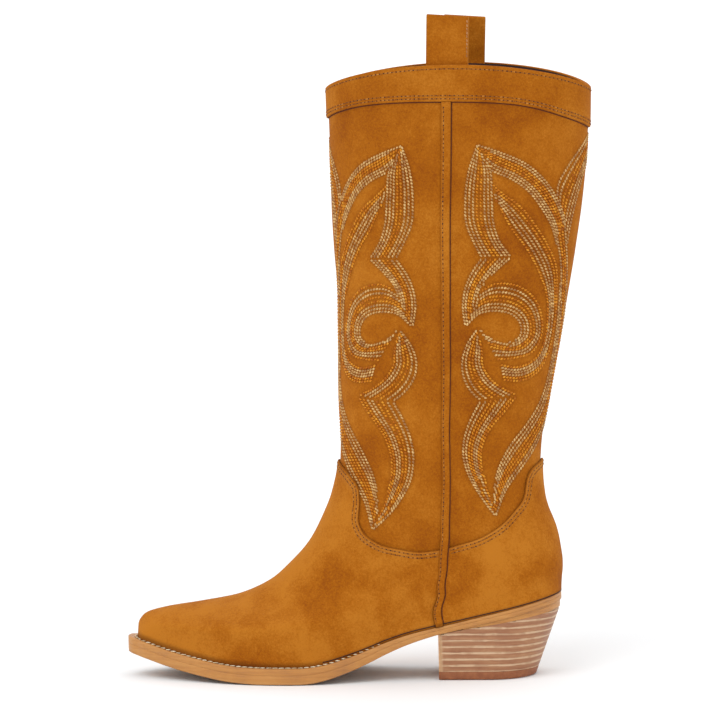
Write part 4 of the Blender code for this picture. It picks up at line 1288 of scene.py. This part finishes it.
def heel_ring(height, start, inward, stations):
    """One side of a heel layer's outline at a height given by x, drawn in by a small amount."""
    s = np.sin(np.linspace(0.0, math.pi / 2, stations))
    z = np.full(len(s), 20.0)
    for _ in range(8):
        back, half = heel_section(z)
        back, half = back - inward, half - inward
        x = start + (back - start) * s
        z = height(x)
    y = half * rounding((back - x) / half)
    return np.stack([x, y, z], -1)


HEEL_STATIONS = 48
HEEL_SEAT_START_X = 64.0
LIFT_LEAST = 0.6
TOP_LIFT_GAP = 0.05
START_STEP = 0.25
FACING_ROWS = 12
FACING_COLUMNS = 25
FACING_EDGE = 0.12


def heel_piece(name, low, high, start, finish, crease=0.12):
    """A layer of the heel with a slightly eased edge above and below."""
    section = [(0.0, crease), (0.06, 0.03), (0.3, 0.0), (0.7, 0.0), (0.94, 0.03), (1.0, crease)]
    outer = []
    for share, inward in section:
        def height(x, share=share):
            return low(x) + (high(x) - low(x)) * share

        outer.append(heel_ring(height, start, inward, HEEL_STATIONS))
    left = [ring * (1, -1, 1) for ring in outer]
    points = np.stack(left + outer[::-1], 1)
    return piece(name, points.reshape(-1, 3), tube_faces(HEEL_STATIONS, 2 * len(section)), finish)


def heel_ceiling(x):
    """Height under which the heel's layers are cut, following the sloping seat."""
    return np.minimum(underside(x), outsole_bottom(x)) - LAYER_GAP


def make_sole():
    make_welt()
    sew_welt()
    sole_plate("outsole_plate", outsole_bottom, lambda x: outsole_top(x) - LAYER_GAP, OUTSOLE_EDGE,
               CRISP_EDGE, FINISHES["sole"], ("outsole",))


def make_heel():
    wedge = heel_piece("heel_seat", underside, lambda x: outsole_bottom(x) - LAYER_GAP, HEEL_SEAT_START_X,
                       FINISHES["sole"], crease=0.05)
    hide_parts("heel_seat_wedge")
    for k in range(LIFT_COUNT):
        bottom = TOP_LIFT_HEIGHT + LIFT_HEIGHT * k
        start = HEEL_BREAST_X + BREAST_COVER
        while float(heel_ceiling(start)) < bottom + LIFT_LEAST:
            start += START_STEP
        lift = heel_piece("stacked_lift_%d" % (k + 1), lambda x, z=bottom: np.full(np.shape(x), z),
                          lambda x, z=bottom + LIFT_HEIGHT: np.minimum(z, heel_ceiling(x)), start,
                          FINISHES["stack"])
        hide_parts("heel_lift_%d" % (k + 1))
    top_lift = heel_piece("rubber_top_lift", lambda x: np.zeros(np.shape(x)),
                          lambda x: np.full(np.shape(x), TOP_LIFT_HEIGHT - TOP_LIFT_GAP), HEEL_BREAST_X,
                          FINISHES["top_lift"], crease=0.3)
    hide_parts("top_lift")
    breast_cover()


def breast_cover():
    """The thin leather facing on the front of the heel."""
    across = np.linspace(-1.0, 1.0, FACING_COLUMNS)
    rings = []
    for z in np.linspace(TOP_LIFT_HEIGHT, float(underside(HEEL_BREAST_X)) - 0.1, FACING_ROWS):
        y = across * heel_section(z)[1]
        height = np.full(FACING_COLUMNS, z)
        front = np.stack([HEEL_BREAST_X + FACING_EDGE * (np.abs(across) > 0.99), y, height], -1)
        back = np.stack([np.full(FACING_COLUMNS, HEEL_BREAST_X + BREAST_COVER), y, height], -1)
        rings.append(np.concatenate([front, back[::-1]]))
    piece("breast_facing", np.concatenate(rings), tube_faces(FACING_ROWS, 2 * FACING_COLUMNS),
          FINISHES["breast"], stands_for=("heel_breast_cover",), smooth_faces=False)


# ---- Stage ------------------------------------------------------------------------------------------------
WORLD_LIGHT = 1.0
LAMPS = [
    ("key", (-1.0, -1.6, 2.6), 0.62, 36.0),
    ("fill", (1.6, -1.8, 1.6), 0.12, 60.0),
    ("top", (0.0, 0.3, 2.6), 0.15, 70.0),
]
LAMP_AIM = Vector((0, 0, 0.2))
FLOOR_HALF_WIDTH = 6.0
FLOOR_DROP = 0.0004
WALL_FROM_Y = 2.0
WALL_ROUND = 2.0
WALL_TOP = 5.0
PAPER = ((0.93, 0.945, 0.955, 1), (0.95, 0.965, 0.975, 1))


def make_backdrop():
    """A white floor that curves up into a white wall behind the boot."""
    run = [(y, 0.0) for y in (-6.0, -3.0, -1.0, 0.0, 1.0, WALL_FROM_Y)]
    run += [(WALL_FROM_Y + WALL_ROUND * math.sin(a), WALL_ROUND - WALL_ROUND * math.cos(a))
            for a in np.linspace(0.1, math.pi / 2, 14)]
    run += [(WALL_FROM_Y + WALL_ROUND, WALL_TOP)]
    points = [(x, y, z) for y, z in run for x in (-FLOOR_HALF_WIDTH, FLOOR_HALF_WIDTH)]
    faces = [(2 * i, 2 * i + 1, 2 * i + 3, 2 * i + 2) for i in range(len(run) - 1)]
    mesh = bpy.data.meshes.new("backdrop")
    mesh.from_pydata(points, [], faces)
    mesh.polygons.foreach_set("use_smooth", [True] * len(mesh.polygons))
    white = Finish("white_paper", Specular_IOR_Level=0.0, Roughness=0.9)
    mesh.materials.append(white.finish(white.ramp(white.noise(0.3), (0.4, PAPER[0]), (0.6, PAPER[1]))))
    backdrop = bpy.data.objects.new("backdrop", mesh)
    backdrop.location.z = -FLOOR_DROP
    bpy.context.scene.collection.objects.link(backdrop)


def make_light():
    world = bpy.data.worlds.new("studio")
    world.use_nodes = True
    background = world.node_tree.nodes["Background"]
    background.inputs["Color"].default_value = (1.0, 1.0, 1.0, 1.0)
    background.inputs["Strength"].default_value = WORLD_LIGHT
    bpy.context.scene.world = world
    for name, place, power, spread in LAMPS:
        lamp = bpy.data.lights.new(name, "SUN")
        lamp.energy = power
        lamp.angle = math.radians(spread)
        lamp_object = bpy.data.objects.new(name, lamp)
        lamp_object.location = place
        lamp_object.rotation_mode = "QUATERNION"
        lamp_object.rotation_quaternion = (LAMP_AIM - Vector(place)).to_track_quat("-Z", "Y")
        bpy.context.scene.collection.objects.link(lamp_object)


CAMERA_DISTANCE = 2.7
CAMERA_AZIMUTH = math.radians(6.0)
CAMERA_HEIGHT = 0.438
CAMERA_AIM = Vector((0.0007, -0.0004, 0.1981))
CAMERA_LENS = 216.3
CAMERA_SENSOR = 36.0
CAMERA_ROLL = math.radians(-1.2)


def make_camera():
    data = bpy.data.cameras.new("camera")
    data.lens = CAMERA_LENS
    data.sensor_width = CAMERA_SENSOR
    camera = bpy.data.objects.new("camera", data)
    camera.location = (math.sin(CAMERA_AZIMUTH) * CAMERA_DISTANCE,
                       -math.cos(CAMERA_AZIMUTH) * CAMERA_DISTANCE, CAMERA_HEIGHT)
    look = (CAMERA_AIM - camera.location).to_track_quat("-Z", "Y")
    camera.rotation_mode = "QUATERNION"
    camera.rotation_quaternion = (look.to_matrix() @ Matrix.Rotation(CAMERA_ROLL, 3, "Z")).to_quaternion()
    bpy.context.scene.collection.objects.link(camera)
    bpy.context.scene.camera = camera
    bpy.context.scene.view_settings.view_transform = "Standard"


make_camera()
make_backdrop()
make_light()
finish_carried_over()
make_panels()
paint_joint_shadows()
collar_band("front", lambda s, v: s * (side_seam(v) - JOINT_AHEAD))
collar_band("back", lambda s, v: np.where(s < 0, -1, 1) * (1 - np.abs(s) * (1 - side_seam(v) + JOINT_AHEAD)))
sew_collar()
sew_foot()
sew_strips()
for strap, strap_side in SIDES:
    pull_strap(strap, strap_side)
make_sole()
make_heel()
